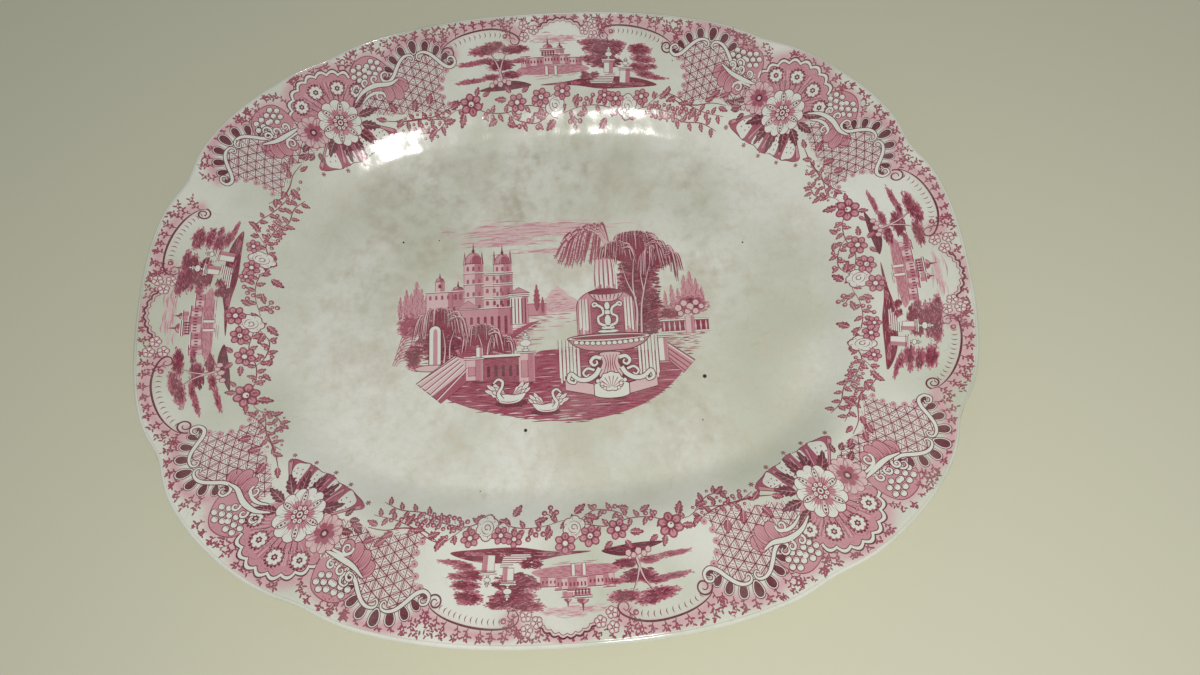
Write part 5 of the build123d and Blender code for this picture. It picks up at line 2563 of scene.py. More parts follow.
@dataclass
class CentreView:
    """The large view in the well: a lakeside villa, a terrace and a tiered fountain, in dish coordinates."""

    seed: int = 83
    axis: float = 24.5

    def sky(self, hand: Burin) -> None:
        """Draws the clouds and the far hills.

        Args:
            hand: The burin that draws.
        """
        hand.cloud(-10, 43, 62, 9, 210)
        hand.cloud(-28, 37, 44, 5, 90)
        hand.cloud(2, 30.5, 44, 3, 60)
        hill = np.array([(-14, 0), (-10, 1.6), (-8, 4), (-5.4, 5.2), (-3, 9.4), (-1.4, 9.8), (0, 12),
                         (1.6, 10), (3.4, 9), (5, 6.2), (9, 4), (11, 1.6), (14, 0.4), (14, -3), (-14, -3)],
                         float)
        hand.sheet.patch(hill, MIST, 0, 2.4)
        hand.ripples(hill, BLUSH, 1, 0.7, 0.4, 0.9, 4)
        hand.ripples(hill * (0.9, 0.9), ROSE, 2, 1.4, 0.3, 0.6, 3)
        far = np.array(
            [(-40, 1), (-14, -2), (10, -3), (12, -8), (2, -11), (-8, -19), (-24, -21), (-34, -12)], float,
        )
        hand.ripples(far, BLUSH, 0, 0.9, 0.5, 0.75, 9)
        hand.ripples(far, ROSE, 1, 2.1, 0.3, 0.5, 7)

    def villa(self, hand: Burin) -> None:
        """Draws the villa with its two domed towers, wings, portico and cypresses.

        Args:
            hand: The burin that draws.
        """
        for x, height in ((-79, 13), (-76, 17), (-73.5, 15), (-71, 21), (-68.5, 17), (-66, 13)):
            hand.cypress(x, -3, height, BLUSH)
        sheet = hand.sheet
        for x, y, width in ((-74, -6, 13), (-62, -5, 20), (-46, -6, 24), (-32, -6, 20)):
            hand.foliage(x, y, width, 13, 0.1, 1)
        for x, y, width, height in (
            (-66, -2, 19, 13), (-61.5, 11, 4.6, 6), (-53, 3, 6, 9), (-37.5, 0, 15, 20), (-47, -2, 9.6, 28),
            (-32, -2, 9, 27),
        ):
            hand.box(x, y, width, height, MIST, 3, 0.42)
            hand.courses(x, y + height, width, 1, 0, 8)
            rows = max(1, round(height / 6.5))
            for row in range(rows):
                hand.windows(x + 0.5, y + height * (row + 0.42) / rows, width - 1, max(1, round(width / 3.4)),
                             height / rows * 0.36, ROSE if row else CRIMSON, 7)
        for x, y, radius, rise in (
            (-42.2, 26.2, 4.3, 1.35), (-27.5, 25.2, 3.9, 1.35), (-59.2, 17.4, 2.0, 0.8),
            (-50, 12.4, 2.6, 0.5),
        ):
            hand.dome(x, y, radius, 9, rise)
        for x in (-46.6, -37.8, -31.6, -23.4):
            sheet.line([(x, 25.4), (x, 27.6), (x, 32.5)], (1.5, 1.2, 0.15), CRIMSON, 9)
            sheet.line([(x - 0.2, 25.6), (x - 0.1, 30)], (0.5, 0.1), MIST, 10)
        for up in (6, 13, 19):
            hand.courses(-37.5, up, 15, 1, 0, 9)
            hand.courses(-47, up + 1.4, 9.6, 1, 0, 9)
            hand.courses(-32, up + 1, 9, 1, 0, 9)
        hand.box(-50, -13, 27, 14, BLUSH, 9, 0.25)
        hand.windows(-48.5, -12.6, 24, 7, 9.6, CRIMSON, 13)
        hand.courses(-50, 1, 27, 1, 0, 13)
        hand.gable(-50, 1.6, 10, 4.2, 14)
        hand.box(-24, -8, 9, 15, WHITE, 10, 0.3)
        for place in range(5):
            across = -23.2 + 1.7 * place
            sheet.line([(across, -7.6), (across, 5.8)], 0.55, CRIMSON, 13, 2.4)
        hand.courses(-24.4, 6.6, 9.8, 2, 1.0, 14)
        hand.gable(-24.4, 8.6, 9.8, 3, 14)
        hand.box(-15, -4, 9, 6.4, BLUSH, 8, 0.4)
        hand.courses(-15, 2.4, 9, 1, 0, 12)
        hand.cypress(-10.5, -2, 15, ROSE, 12)
        hand.cypress(-7.6, -3, 9, ROSE, 12)
        shore = np.array(
            [(-50, -13), (-22, -13), (-6, -5), (0, -4), (-8, -9), (-20, -18), (-34, -22), (-52, -22)], float,
        )
        sheet.patch(shrunk(shore, 0.8, 0.72) - (4, 0), ROSE, 4, 2.4)
        hand.ripples(shore, ROSE, 5, 0.6, 0.5, 0.95, 4)
        hand.ripples(shore, CRIMSON, 6, 0.7, 0.42, 0.9, 4)

    def water(self, hand: Burin) -> None:
        """Draws the dark pool in level ripples.

        Args:
            hand: The burin that draws.
        """
        pool = bend((-60, -43), (-50, -49), (-36, -53.5), (-18, -57.5), (2, -60), (22, -58.6), (40, -53.5),
                    (54, -45), (63, -35), (58, -29), (48, -25), (30, -22), (2, -21.5), (-12, -22),
                    (-16, -34), (-36, -36), (-52, -36), closed=True, step=1.6)
        hand.sheet.patch(shrunk(pool, 0.95, 0.93), ROSE, 0, 3.0)
        hand.ripples(pool, CRIMSON, 1, 0.72, 0.62, 0.92, 9)
        hand.ripples(pool, MIST, 2, 2.3, 0.4, 0.5, 8)
        wake = bend((-40, -54), (-20, -57), (0, -58.6), (14, -57), (0, -54.6), (-24, -52.6), closed=True)
        hand.ripples(wake, WHITE, 3, 1.3, 0.5, 0.6, 9)
        for x, y, width, height in ((16, -53, 18, 9), (-46, -45, 9, 10), (-38, -41, 25, 5)):
            hand.ripples(oblong(x, y, width, height), WINE, 3, 0.8, 0.6, 0.85, 7)

    def terrace(self, hand: Burin) -> None:
        """Draws the garden trees, the arch and the terrace with its ramp and balustrade.

        Args:
            hand: The burin that draws.
        """
        sheet = hand.sheet
        for turn in range(7):
            x, y = -78.5 + 0.9 * turn, -27 + 3.0 * turn
            for reach in (7.5, 5.6, 3.8):
                curl = arc(x + reach * 0.5, y, reach, 175, 60, 0.9)
                sheet.line(curl, (0.3, 0.6, 0.2), ROSE if reach > 5 else BLUSH, 2)
        ground = bend((-72, -30), (-76, -22), (-70, -12), (-56, -12), (-30, -17), (-20, -23), (-38, -25),
                      (-52, -25), (-62, -31), closed=True, step=1.8)
        sheet.patch(shrunk(ground, 0.66, 0.7) + (7, 0), ROSE, 6, 2.6)
        hand.ripples(ground, CRIMSON, 7, 0.8, 0.5, 0.8, 5)
        hand.foliage(-72, -22, 9, 15, 0.6, 7)
        hand.foliage(-59, -17, 23, 19, 0.9, 9)
        hand.drooping(-59, -7, 12.5, 26, 16, 1.2)
        hand.foliage(-28, -18, 15, 12, 0.7, 9)
        hand.drooping(-38.5, -15, 10.5, 24, 16, 1.0)
        hand.drooping(-28.5, -19, 7, 14, 16, 1.0)
        arch = np.vstack([[(-64.5, -27), (-58.5, -27)], arc(-61.5, -9.5, 3, 0, 180)])
        sheet.edged(arch, WHITE, WINE, 0.5, 24, 2.4)
        sheet.patch(arch * (0.36, 0.9) + (-39.2, -2.4), BLUSH, 26, 2.4)
        for knots in (((-57, -27), (-56.4, -18), (-57.6, -9)), ((-54, -27), (-54, -17), (-51.6, -9)),
                      ((-38, -23), (-38.4, -18), (-40, -12)), ((-35.6, -23), (-35, -18), (-33.4, -13))):
            hand.trunk(bend(*knots), 0.9, 24)
        sheet.edged(dot(1, 16) * (8.4, 1.7) + (-63, -28.6), MIST, CRIMSON, 0.4, 26)
        hand.box(-38, -37, 25, 12.6, ROSE, 26, 0)
        hand.ripples(oblong(-38, -37, 25, 12), CRIMSON, 28, 0.62, 0.42, 0.95, 5)
        hand.windows(-37, -34.6, 18, 5, 5.6, WINE, 29)
        ramp = np.array([(-70.5, -36), (-58.5, -46.4), (-46, -36.6), (-45.6, -25), (-52, -22.8)], float)
        sheet.edged(ramp, MIST, WINE, 0.4, 28, 2.4)
        sheet.patch([(-62.6, -42.6), (-58.5, -46.4), (-46, -36.6), (-46, -30)], ROSE, 30, 2.4)
        for share in (0.0, 0.22, 0.44, 0.68, 1.0):
            start = np.array((-70.5, -36)) * (1 - share) + np.array((-60.6, -44.6)) * share
            end = np.array((-51, -23.4)) * (1 - share) + np.array((-45.8, -29.4)) * share
            sheet.line([start, end], 0.42, CRIMSON, 31, 2.4)
            sheet.line(np.array([start, end]) + (0.3, -0.5), 0.5, WHITE, 31, 2.4)
        for x, y, width, height in ((-46.4, -36, 8, 10.6), (-20.4, -38, 7.8, 14.6)):
            hand.box(x, y, width, height, MIST, 30, 0.4)
            hand.box(x + 1.2, y + 2.4, width - 4.6, height - 6, BLUSH, 33, 0)
            hand.courses(x - 0.6, y + height, width + 1.2, 2, 0.9, 34)
        sheet.line([(-38.5, -24.4), (-19.6, -24.4)], 1.7, WINE, 33, 2.4)
        sheet.line([(-38.5, -24), (-19.6, -24)], 1.2, WHITE, 34, 2.4)
        hand.box(-41.2, -24.4, 2.6, 5.4, WHITE, 34, 0.3)
        hand.dome(-39.9, -19, 1.5, 36, 0.9)
        hand.urn(-16.8, -22.4, 2.4, 36)

    def trees(self, hand: Burin) -> None:
        """Draws the two weeping trees behind the fountain and the planting to their right.

        Args:
            hand: The burin that draws.
        """
        sheet = hand.sheet
        for x, height in ((54, 11), (57.5, 14), (60.6, 12), (64, 19), (67, 21), (70, 17), (72.6, 12)):
            hand.cypress(x, -5, height, BLUSH)
        hand.foliage(66, -2.5, 19, 11, 0.4, 4)
        hand.foliage(56, -6.5, 14, 7, 0.6, 4)
        for x, y, radius in (
            (60, -4, 1.9), (63, -1.6, 1.8), (66, -3.6, 2.0), (69, -1.4, 1.7), (64.6, -6, 1.6),
            (68.6, -6, 1.7), (71.6, -3.6, 1.5), (61, -7, 1.5),
        ):
            with sheet.at(x, y):
                sheet.edged(rosette(radius, 5, 0.14, 20 * x, 5), MIST, CRIMSON, 0.35, 16)
        hand.rail(51, -16.5, 23.5, 7, 9, 18)
        hand.box(63, -17.5, 4.4, 9, MIST, 22, 0.35)
        lawn = np.array([(50, -17), (75, -16), (74, -21), (68, -27), (63, -31), (54, -24), (49, -20)], float)
        hand.ripples(lawn, ROSE, 3, 0.75, 0.45, 0.85, 6)
        hand.ripples(lawn, CRIMSON, 4, 1.5, 0.4, 0.5, 5)
        for x, y, width, height, dark in (
            (40, 8, 22, 30, 0.95), (37, -8, 20, 18, 1.0), (46, -6, 13, 22, 0.95), (44, 22, 24, 14, 0.9),
        ):
            hand.foliage(x, y, width, height, dark, 3)
        hand.drooping(40.5, 27, 16, 34, 12, 0.9)
        hand.drooping(52.5, 23, 10.5, 22, 13, 1.9)
        hand.drooping(31, 27.5, 9, 18, 13, 1.0)
        for place in range(26):
            share = place / 25
            crown = (24 - 18 * share, 45 - 5.5 * share**2 - 1.6 * (place % 3))
            end = (21 - 22.5 * share, 42 - 4 * share - hand.dice.uniform(10, 19))
            path = bend((27.5, 30), (26 - 7 * share, 39.5 + 1.5 * share), crown, end, step=1.4)
            sheet.line(path + (0.4, -0.6), (0.4, 1.0, 1.7, 0.3), ROSE, 11)
            sheet.line(path, (0.3, 0.5, 0.75, 0.15), MIST if place % 2 else CRIMSON, 12)
            for run in np.linspace(0.42, 0.97, 7):
                x, y, heading = along(path, run)
                sheet.stamp(Motif.DAB, x, y, heading + 70, 0.9, 13)
        for knots, width in (
            (((38.5, -17), (39.6, -4), (38.4, 9), (39.6, 24)), 1.3),
            (((41, -17), (42, -2), (44.6, 10), (48, 22)), 1.1), (((39.5, 2), (35.4, 12), (33, 22)), 0.8),
            (((43.6, 6), (42.6, 16), (43.6, 27)), 0.7),
        ):
            hand.trunk(bend(*knots), width, 20)
        hand.box(48.4, -31, 5, 12, WHITE, 14, 0.4)
        hand.courses(48, -19, 5.8, 2, 0.9, 18)
        ramp = np.array([(53.4, -21.6), (66, -31.4), (60, -37.6), (53.4, -31)], float)
        sheet.edged(ramp, BLUSH, WINE, 0.4, 14, 2.4)
        for share in (0.12, 0.34, 0.6, 0.85):
            start, end = (53.4, -21.6 - 9.4 * share), (66 - 6 * share, -31.4 - 6.2 * share)
            sheet.line([start, end], 0.5, CRIMSON if share > 0.3 else WHITE, 16, 2.4)

    def falls(self, hand: Burin, x: float, y: float, width: float, height: float, count: int, layer: int,
              spread: float = 1.0) -> None:
        """Draws water falling in threads from a rim, from its top middle.

        Args:
            hand: The burin that draws.
            x: The rim's middle.
            y: The rim's height.
            width: The fall's width at the rim.
            height: How far it falls.
            count: How many threads.
            layer: The layer they lie on.
            spread: Its width at its foot, as a share.
        """
        for place in range(count):
            share = (place + hand.dice.uniform(0.2, 0.8)) / count * 2 - 1
            foot = y - height * hand.dice.uniform(0.8, 1.0)
            low = x + width / 2 * share * spread
            path = bend((x + width / 2 * share, y), (low, (y + foot) / 2), (low, foot), step=1.8)
            wide, ink = ((0.3, 0.6, 0.8), WHITE) if place % 3 else ((0.2, 0.34, 0.5), CRIMSON)
            hand.sheet.line(path, wide, ink, layer)

    def spray(self, hand: Burin) -> None:
        """Draws the water over the fountain, its veil and the wet core behind it.

        Args:
            hand: The burin that draws.
        """
        sheet, middle = hand.sheet, self.axis
        sheet.patch([(19, 8), (30, 8), (29, 24), (24.5, 25.5), (20, 24)], BLUSH, 22, 2.4)
        self.falls(hand, middle, 24.5, 10, 17, 15, 23, 1.15)
        veil = np.vstack([arc(23.8, -1, 14.6, 180, 0, 0.66), [(38.4, -15.5), (9.2, -15.5)]])
        sheet.edged(veil, BLUSH, CRIMSON, 0.4, 24, 2.6)
        core = np.vstack([arc(middle, -1, 8.2, 180, 0, 0.6), [(32.7, -15), (16.3, -15)]])
        sheet.edged(core, ROSE, CRIMSON, 0.3, 26, 2.6)
        hand.ripples(core, WINE, 28, 0.8, 0.5, 0.9, 4)
        self.falls(hand, 12.6, 3.4, 5.4, 19, 10, 28)
        self.falls(hand, 35.2, 3.4, 5.4, 19, 10, 28)

    def column(self, hand: Burin) -> None:
        """Draws the fountain's urn-shaped column and upper bowl.

        Args:
            hand: The burin that draws.
        """
        sheet, middle = hand.sheet, self.axis
        for x, y, wide, tall in (
            (middle, -14.2, 11, 2.0), (middle, -12.4, 7, 2.4), (middle, -8.6, 3.4, 6.4),
            (middle, -4.2, 5.6, 2.6), (middle, -0.8, 3, 4.6),
        ):
            sheet.edged(dot(1, 14) * (wide / 2, tall / 2) + (x, y), WHITE, WINE, 0.4, 30)
        for side in (-1, 1):
            with sheet.at(middle, -2.4, 0, 1, side):
                curl = bend((1.2, -9), (4.2, -7.4), (4.6, -4.2), (2.2, -2.6), (2.6, 0.6), (5.4, 2.4))
                sheet.piped(curl, (1.3, 1.0, 1.3), 0.35, 32)
                sheet.piped(arc(6.3, 2.2, 1.5, 200, -200, to_radius=0.4), 0.8, 0.3, 32)
        bowl = bend((15.6, 6.6), (18, 3.4), (21.6, 1.6), (27.4, 1.6), (31, 3.4), (33.4, 6.6), step=0.9)
        sheet.edged(np.vstack([bowl, arc(middle, 6.6, 8.9, 0, 180, 0.16)]), MIST, WINE, 0.45, 34)
        sheet.edged(dot(1, 22) * (8.9, 1.25) + (middle, 6.7), CRIMSON, WINE, 0.4, 36)
        for place in range(7):
            across = (place - 3) * 2.1
            sheet.line([(middle + across, 5.2), (middle + across * 0.8, 2.2)], (0.7, 0.2), CRIMSON, 37)

    def basin(self, hand: Burin) -> None:
        """Draws the fountain's lower bowl, its gadroons and the water that falls beside it.

        Args:
            hand: The burin that draws.
        """
        sheet, middle = hand.sheet, self.axis
        lower = bend((4, -17.6), (8, -21.4), (16, -24), (33, -24), (41, -21.4), (45, -17.6), step=1.2)
        self.falls(hand, 4.6, -17.5, 11, 23, 19, 36)
        self.falls(hand, 43.4, -17.5, 11, 23, 19, 36)
        sheet.edged(np.vstack([lower, arc(middle, -17.6, 20.5, 0, 180, 0.12)]), BLUSH, WINE, 0.5, 38, 2.6)
        sheet.edged(dot(1, 36) * (20.5, 1.9) + (middle, -17.4), WHITE, CRIMSON, 0.5, 40, 2.6)
        sheet.patch(dot(1, 30) * (18.6, 1.1) + (middle, -17.3), CRIMSON, 42, 2.6)
        for place in range(13):
            across = (place - 6) * 2.7
            sheet.edged(dot(1.35, 8) * (1, 0.85) + (middle + across, -20.4 + 0.004 * across**2), WHITE,
                        WINE, 0.35, 42)

    def pedestal(self, hand: Burin) -> None:
        """Draws the fluted cup, the shell and the scrolled foot below the lower bowl.

        Args:
            hand: The burin that draws.
        """
        sheet, middle = hand.sheet, self.axis
        sheet.patch([(17, -44), (16, -34), (19, -25), (30, -25), (33, -34), (32, -44)], WINE, 34, 2.4)
        cup = bend((19.6, -25.4), (20.6, -30), (18.6, -35.4), (20.4, -38.6), (28.6, -38.6), (30.4, -35.4),
                   (28.4, -30), (29.4, -25.4), closed=True)
        sheet.edged(cup, MIST, WINE, 0.45, 36, 2.4)
        for place in range(5):
            across = (place - 2) * 1.7
            flute = bend((middle + across, -26.4), (middle + across * 0.6, -31), (middle + across * 1.2, -37))
            sheet.line(flute, (0.3, 0.5, 0.2), CRIMSON, 38)
        shell = rosette(5.6, 9, 0.16, 90, 5) * (1.1, 0.9) + (middle, -40)
        sheet.edged(shell, WHITE, WINE, 0.45, 38, 2.4)
        for turn in range(20, 180, 20):
            with sheet.at(middle, -43.6, turn):
                sheet.line([(1, 0), (6.4, 0)], (0.2, 0.5), ROSE, 40)
        base = np.vstack([arc(middle, -41.6, 8.6, 180, 0, 0.2), arc(middle, -46.4, 8.6, 0, -180, 0.24)])
        sheet.edged(base, WHITE, WINE, 0.45, 34, 2.4)
        for side in (-1, 1):
            with sheet.at(middle, 0, 0, 1, side):
                foot = np.array([(8.6, -41), (22.4, -37.6), (22.4, -43.4), (8.6, -46.6)], float)
                sheet.edged(foot, MIST, WINE, 0.4, 32, 2.4)
                ear = bend((4.4, -28), (7.6, -27.4), (9.6, -29.6), (8.2, -31.6), (6.4, -30.6), (6.9, -29.2))
                sheet.piped(ear, (1.8, 1.5, 0.7), 0.42, 44)
                volute = bend((5.4, -33), (7.6, -36.4), (11.6, -38.6), (16, -38.2), (19.6, -35.4),
                              (20.8, -38.6), (18, -40), (17.2, -38.2))
                sheet.piped(volute, (2.0, 2.2, 1.8, 0.8), 0.45, 44)
                curl = bend((8, -34), (11.4, -33), (13.6, -35.2), (12.2, -37), (10.8, -36))
                sheet.piped(curl, (1.2, 1.1, 0.6), 0.4, 46)
                for x, y, size in ((4.6, -41.2, 1.0), (3.4, -43.4, 0.9), (6.6, -39.6, 1.1)):
                    sheet.edged(dot(size, 8) + (x, y), WHITE, CRIMSON, 0.3, 42)

    def fountain(self, hand: Burin) -> None:
        """Draws the tiered fountain from its spray down.

        Args:
            hand: The burin that draws.
        """
        self.spray(hand)
        self.column(hand)
        self.basin(hand)
        self.pedestal(hand)

    def swan(self, hand: Burin, x: float, y: float, size: float, side: int) -> None:
        """Draws a swimming swan with raised wings.

        Args:
            hand: The burin that draws.
            x: Where it stands along the sheet.
            y: Where it stands across the sheet.
            size: Its scale.
            side: 1 to face left, -1 to face right.
        """
        sheet = hand.sheet
        with sheet.at(x, y, 0, size, side):
            sheet.patch(dot(1, 18) * (8.4, 1.9) + (1, -3.6), WINE, 36, 2.4)
            for turn, length, width in (
                (152, 12, 4.2), (138, 12.5, 4.4), (124, 11, 4), (52, 11, 4), (38, 12, 4.4), (25, 11, 4),
            ):
                with sheet.at(-1.6 if turn > 90 else 1.6, -1.0, turn):
                    sheet.edged(blade(length, width, 3, 0.8), WHITE, CRIMSON, 0.35, 38)
                    sheet.line(bend((1, 0), (length * 0.5, 0.2), (length * 0.9, 0.7)), (0.3, 0.1), ROSE, 40)
            body = bend((-6.6, 0.2), (-2, 1.4), (3, 0.8), (8.6, 1.6), (5.6, -2.6), (0, -3.8), (-5, -2.8),
                        closed=True)
            sheet.edged(body, WHITE, CRIMSON, 0.4, 41, 2.4)
            sheet.line(arc(0, -0.6, 5.4, 200, 330, 0.42), (0.2, 0.5, 0.2), ROSE, 43)
            neck = bend((-3.8, -1.6), (-5.4, 1.6), (-3.6, 5), (-3.2, 8), (-5.4, 9.4), (-7.2, 8), (-8.6, 6.6))
            sheet.piped(neck, (2.4, 1.7, 1.2, 1.3, 1.0, 0.5), 0.4, 44)
            sheet.line([(-8, 7.2), (-9.6, 5.8)], (0.8, 0.2), WINE, 46)

    def draw(self) -> Sheet:
        """Draws the view from its far parts to its near ones.

        Returns:
            The sheet.
        """
        sheet = Sheet()
        hand = Burin(sheet, random.Random(self.seed))
        self.sky(hand)
        self.villa(hand)
        self.water(hand)
        self.terrace(hand)
        self.trees(hand)
        self.fountain(hand)
        self.swan(hand, -25.5, -45, 0.95, 1)
        self.swan(hand, -7, -50.5, 0.85, -1)
        return sheet


# ---------------------------------------------------------------- the dish's own pieces


@dataclass
class DishBody:
    """The fired dish: its glazed face, glazed back, glazed base and bare foot. Millimetres."""

    dish: Dish
    sweep: LobedSweep
    turns: int = 480
    rim_rows: int = 24
    cavetto_rows: int = 26
    well_rings: int = 34
    lip_steps: int = 8
    lip_start: float = 245.0
    well_wall: float = 5.5
    foot_round: float = 0.7
    foot_batter: float = 0.5

    def wall(self, inset: np.ndarray) -> np.ndarray:
        """Gives the height of the underside at insets, square to the face by the local wall.

        Args:
            inset: Insets from the lip.

        Returns:
            Heights, as an array.
        """
        dish, nearby = self.dish, 0.01
        slope = (dish.drop(inset + nearby) - dish.drop(inset - nearby)) / (2 * nearby)
        share = np.clip((inset - dish.lip_radius) / (dish.plan.well_edge - dish.lip_radius), 0, 1)
        wall = 2 * dish.lip_radius + (self.well_wall - 2 * dish.lip_radius) * share
        return dish.crest_height - dish.drop(inset) - wall * np.sqrt(1 + slope**2)

    def face_rows(self) -> tuple[np.ndarray, np.ndarray]:
        """Gives the insets and heights of the face, from the well's edge out to the lip's crest.

        Returns:
            Insets and heights.
        """
        dish = self.dish
        cavetto = np.linspace(dish.plan.well_edge, dish.rim_width, self.cavetto_rows, endpoint=False)
        rim = np.linspace(dish.rim_width, dish.crest_inset, self.rim_rows)
        insets = np.concatenate([cavetto, rim])
        return insets, dish.crest_height - dish.drop(insets)

    def back_rows(self) -> tuple[np.ndarray, np.ndarray]:
        """Gives the insets and heights of the back, from the well's edge out round the lip to its crest.

        Returns:
            Insets and heights.
        """
        dish = self.dish
        radius = dish.lip_radius
        cavetto = np.linspace(dish.plan.well_edge, dish.rim_width, self.cavetto_rows, endpoint=False)
        rim = np.linspace(dish.rim_width, 2 * radius, self.rim_rows)
        insets = np.concatenate([cavetto, rim])
        turn = np.radians(np.linspace(self.lip_start, 90, self.lip_steps + 1))
        lip_insets = radius + radius * np.cos(turn)
        lip_heights = dish.crest_height - radius + radius * np.sin(turn)
        heights = np.concatenate([self.wall(insets), lip_heights])
        heights[0] = dish.foot_height
        return np.concatenate([insets, lip_insets]), heights

    def under(self, insets: np.ndarray, heights: np.ndarray, side: int) -> tuple[np.ndarray, np.ndarray]:
        """Moves a surface's rows into the clay by the glaze's thickness, with side -1 for the face.

        Args:
            insets: The rows' insets.
            heights: The rows' heights.
            side: -1 for the face, 1 for the back.

        Returns:
            The moved insets and heights.
        """
        run, rise = np.gradient(insets), np.gradient(heights)
        shift = side * self.dish.glaze / np.hypot(run, rise)
        return insets + rise * shift, heights - run * shift

    def face_section(self) -> Section:
        """Draws the face's glaze, a closed skin from its underside out to the crest and back in.

        Returns:
            The section.
        """
        dish = self.dish
        insets, heights = self.face_rows()
        under_insets, under_heights = self.under(insets, heights, -1)
        under_insets[[0, -1]] = dish.plan.well_edge, dish.crest_inset
        under_heights[[0, -1]] = dish.floor_height - dish.glaze, dish.crest_height - dish.glaze
        section = Section()
        section.flat(dish.plan.well_edge, dish.floor_height - dish.glaze, 6, True)
        section.line(under_insets[1::2], under_heights[1::2])
        section.line([dish.crest_inset, dish.lip_radius], [dish.crest_height - dish.glaze] * 2)
        section.line([dish.lip_radius], [dish.crest_height])
        section.line(insets[::-1], heights[::-1])
        return section.flat(dish.plan.well_edge, dish.floor_height, self.well_rings, False)

    def back_section(self) -> Section:
        """Draws the back's glaze, a closed skin from beside the foot round the lip.

        Returns:
            The section.
        """
        dish = self.dish
        edge = dish.plan.well_edge + dish.foot_set_in - dish.bare_strip
        insets, heights = self.back_rows()
        under_insets, under_heights = self.under(insets, heights, 1)
        under_insets[[0, -1]] = dish.plan.well_edge, dish.lip_radius
        under_heights[[0, -1]] = dish.foot_height + dish.glaze, dish.crest_height - dish.glaze
        section = Section().line([edge], [dish.foot_height]).line(insets, heights)
        section.line(under_insets[::-1], under_heights[::-1])
        return section.line([edge, edge], [dish.foot_height + dish.glaze, dish.foot_height])

    def base_section(self) -> Section:
        """Draws the disc of glaze inside the foot.

        Returns:
            The section.
        """
        dish = self.dish
        edge = dish.plan.well_edge + dish.foot_set_in + dish.foot_width + dish.bare_strip
        section = Section().flat(edge, dish.foot_height, 12, True)
        return section.flat(edge, dish.foot_height + dish.glaze, 12, False)

    def foot_section(self) -> Section:
        """Draws the foot ring, battered, with its two standing edges rounded.

        Returns:
            The section.
        """
        dish = self.dish
        outer = dish.plan.well_edge + dish.foot_set_in
        inner = outer + dish.foot_width
        top, lean, radius = dish.foot_height + dish.glaze, self.foot_batter, self.foot_round
        section = Section()
        turns = np.radians(np.linspace(0, 90, 5))
        rounding = radius - radius * np.cos(turns)
        section.line(inner - lean - radius + radius * np.sin(turns)[::-1], rounding[::-1])
        section.line(outer + lean + radius - radius * np.sin(turns), rounding)
        section.line([outer, inner], [top, top])
        section.rows.append(section.rows[0])
        return section

    def build(self, face: bpy.types.Material, plain: bpy.types.Material,
              bare: bpy.types.Material) -> list[bpy.types.Object]:
        """Makes the pieces and lets each stand for its CAD node.

        Args:
            face: The face's material.
            plain: The back's and base's material.
            bare: The foot's and core's material.

        Returns:
            The pieces.
        """
        jobs = (
            ("printed_face", self.face_section(), face, "face_glaze", "printed_glaze"),
            ("glazed_back", self.back_section(), plain, "back_glaze", "plain_glaze"),
            ("glazed_base", self.base_section(), plain, "base_glaze", "plain_glaze"),
            ("bare_foot", self.foot_section(), bare, "foot_ring", "fired_clay"),
        )
        pieces = []
        for name, section, material, node, slot in jobs:
            piece = self.sweep.sweep(name, self.dish.plan, section, self.turns, material)
            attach(piece, "root")
            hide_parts(node)
            pieces.append(piece)
            log.info("%s: %d faces", name, len(piece.data.polygons))
        core = frame["nodes"]["clay_dish"]
        core.data.materials.clear()
        core.data.materials.append(bare)
        return pieces


# ---------------------------------------------------------------- floor, light and camera


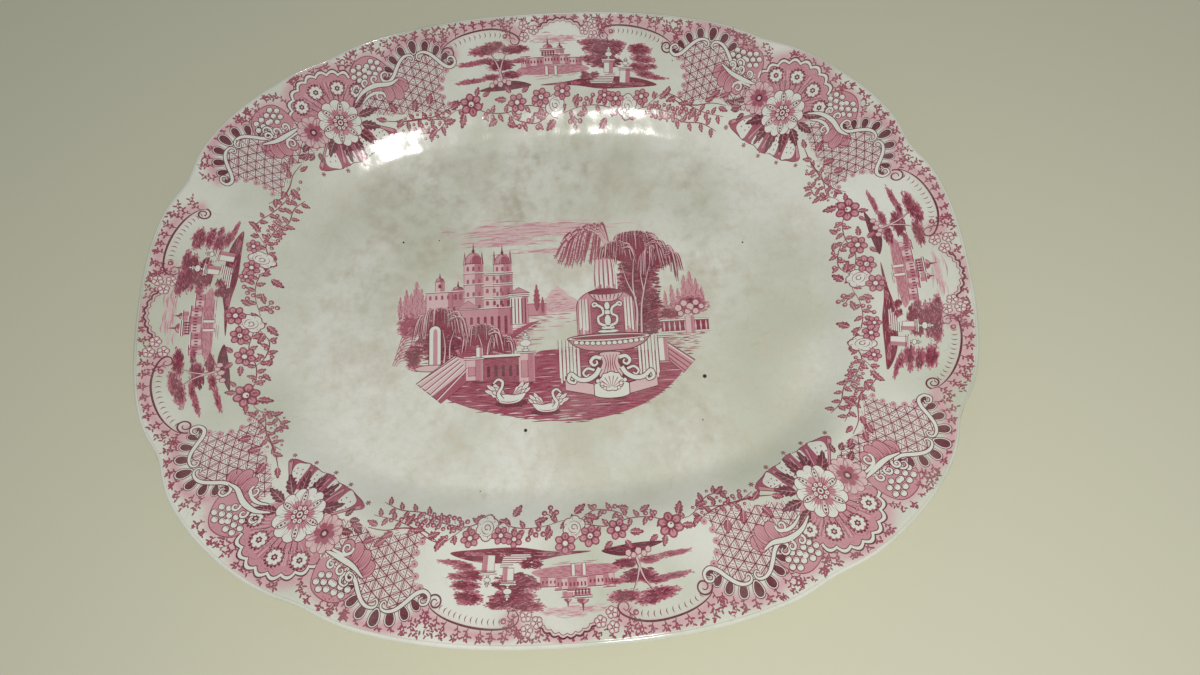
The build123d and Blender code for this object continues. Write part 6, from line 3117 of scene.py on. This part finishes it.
@dataclass(frozen=True)
class Studio:
    """A pale floor, window-like light and the camera over the dish. Millimetres and degrees."""

    crest_height: float
    aim: Point = (20.7, -23.9)
    distance: float = 406.0
    tilt: float = 18.4
    roll: float = 1.26
    yaw: float = 1.96
    lens: float = 26.0
    key_place: tuple[float, float, float] = (60.0, -330.0, 740.0)
    key_aim: tuple[float, float, float] = (160.0, -260.0, 0.0)
    key_size: Point = (76.0, 22.0)
    key_power: float = 3.9
    fill: float = 0.25

    def light(self) -> None:
        """Hangs the window-like light and sets the soft surround."""
        world = bpy.context.scene.world or bpy.data.worlds.new("surround")
        bpy.context.scene.world = world
        world.use_nodes = True
        surround = world.node_tree.nodes["Background"]
        surround.inputs["Color"].default_value = (0.92, 0.97, 1.0, 1.0)
        surround.inputs["Strength"].default_value = self.fill
        pane = bpy.data.lights.new("window", "AREA")
        pane.shape = "RECTANGLE"
        pane.size, pane.size_y = (size * MM for size in self.key_size)
        pane.energy = self.key_power
        pane.color = (1.0, 0.97, 0.92)
        lamp = bpy.data.objects.new("window", pane)
        lamp.location = Vector(self.key_place) * MM
        away = lamp.location - Vector(self.key_aim) * MM
        lamp.rotation_euler = away.to_track_quat("Z", "Y").to_euler()
        bpy.context.scene.collection.objects.link(lamp)

    def floor(self) -> None:
        """Lays the plain pale floor."""
        mesh = bpy.data.meshes.new("floor")
        mesh.from_pydata([(-3, -3, 0), (3, -3, 0), (3, 3, 0), (-3, 3, 0)], [], [(0, 1, 2, 3)])
        floor = bpy.data.objects.new("floor", mesh)
        material = bpy.data.materials.new("floor")
        material.use_nodes = True
        shader = material.node_tree.nodes["Principled BSDF"]
        shader.inputs["Base Color"].default_value = paint(214, 213, 190)
        shader.inputs["Roughness"].default_value = 0.9
        shader.inputs["Specular IOR Level"].default_value = 0.2
        mesh.materials.append(material)
        bpy.context.scene.collection.objects.link(floor)

    def camera(self) -> None:
        """Sets the camera above the near edge of the dish, looking down and a little away."""
        tilt, roll = self.tilt * DEGREE, self.roll * DEGREE
        back = Vector((0, -math.sin(tilt), math.cos(tilt)))
        right, up = Vector((1, 0, 0)), Vector((0, math.cos(tilt), math.sin(tilt)))
        across = math.cos(roll) * right - math.sin(roll) * up
        upward = math.sin(roll) * right + math.cos(roll) * up
        place = Vector((*self.aim, 0)) + back * self.distance
        pose = Matrix((across, upward, back)).transposed().to_4x4()
        pose.translation = place * MM
        turn = Matrix.Rotation(-self.yaw * DEGREE, 4, "Z")
        lift = Matrix.Translation((0, 0, self.crest_height * MM))
        lens = bpy.data.cameras.new("camera")
        lens.lens, lens.sensor_width, lens.clip_start = self.lens, 36.0, 0.01
        camera = bpy.data.objects.new("camera", lens)
        camera.matrix_world = lift @ turn @ pose
        bpy.context.scene.collection.objects.link(camera)
        bpy.context.scene.camera = camera


def main() -> None:
    """Builds the platter, its print and the studio."""
    logging.basicConfig(level=logging.INFO, format="%(name)s: %(message)s")
    bpy.context.scene.view_settings.view_transform = "Standard"
    dish = Dish.from_frame()
    wear = GlazeWear()
    face = FaceGlaze("printed_face_glaze").make(wear)
    plain = PlainGlaze("plain_glaze", pits=1.0, crazing=0.08).make(wear)
    bare = BareClay("bare_clay").make()
    body = DishBody(dish, LobedSweep()).build(face, plain, bare)
    inks = {ink: InkFinish("ink_" + ink.name.lower(), tone=ink).make(wear) for ink in Ink}
    stock = MotifStock()
    transfer = Transfer(body[0], stock.build(), inks)
    wash = Wash()
    band = PrintedBorder(Border(dish.plan), wash)
    transfer.lay("lattice_panels", band.lattices())
    transfer.lay("border_scrolls", band.scrolls())
    transfer.lay("corner_sprays", band.corners())
    transfer.lay("flower_garland", band.garlands())
    transfer.lay("fringe_sprigs", band.fringe())
    transfer.lay("reserve_views", reserve_views(band))
    transfer.lay("centre_view", CentreView().draw(), 0.005)
    wash.lay(body[0])
    stock.clear()
    studio = Studio(dish.crest_height)
    studio.floor()
    studio.light()
    studio.camera()


if __name__ == "__main__":
    main()
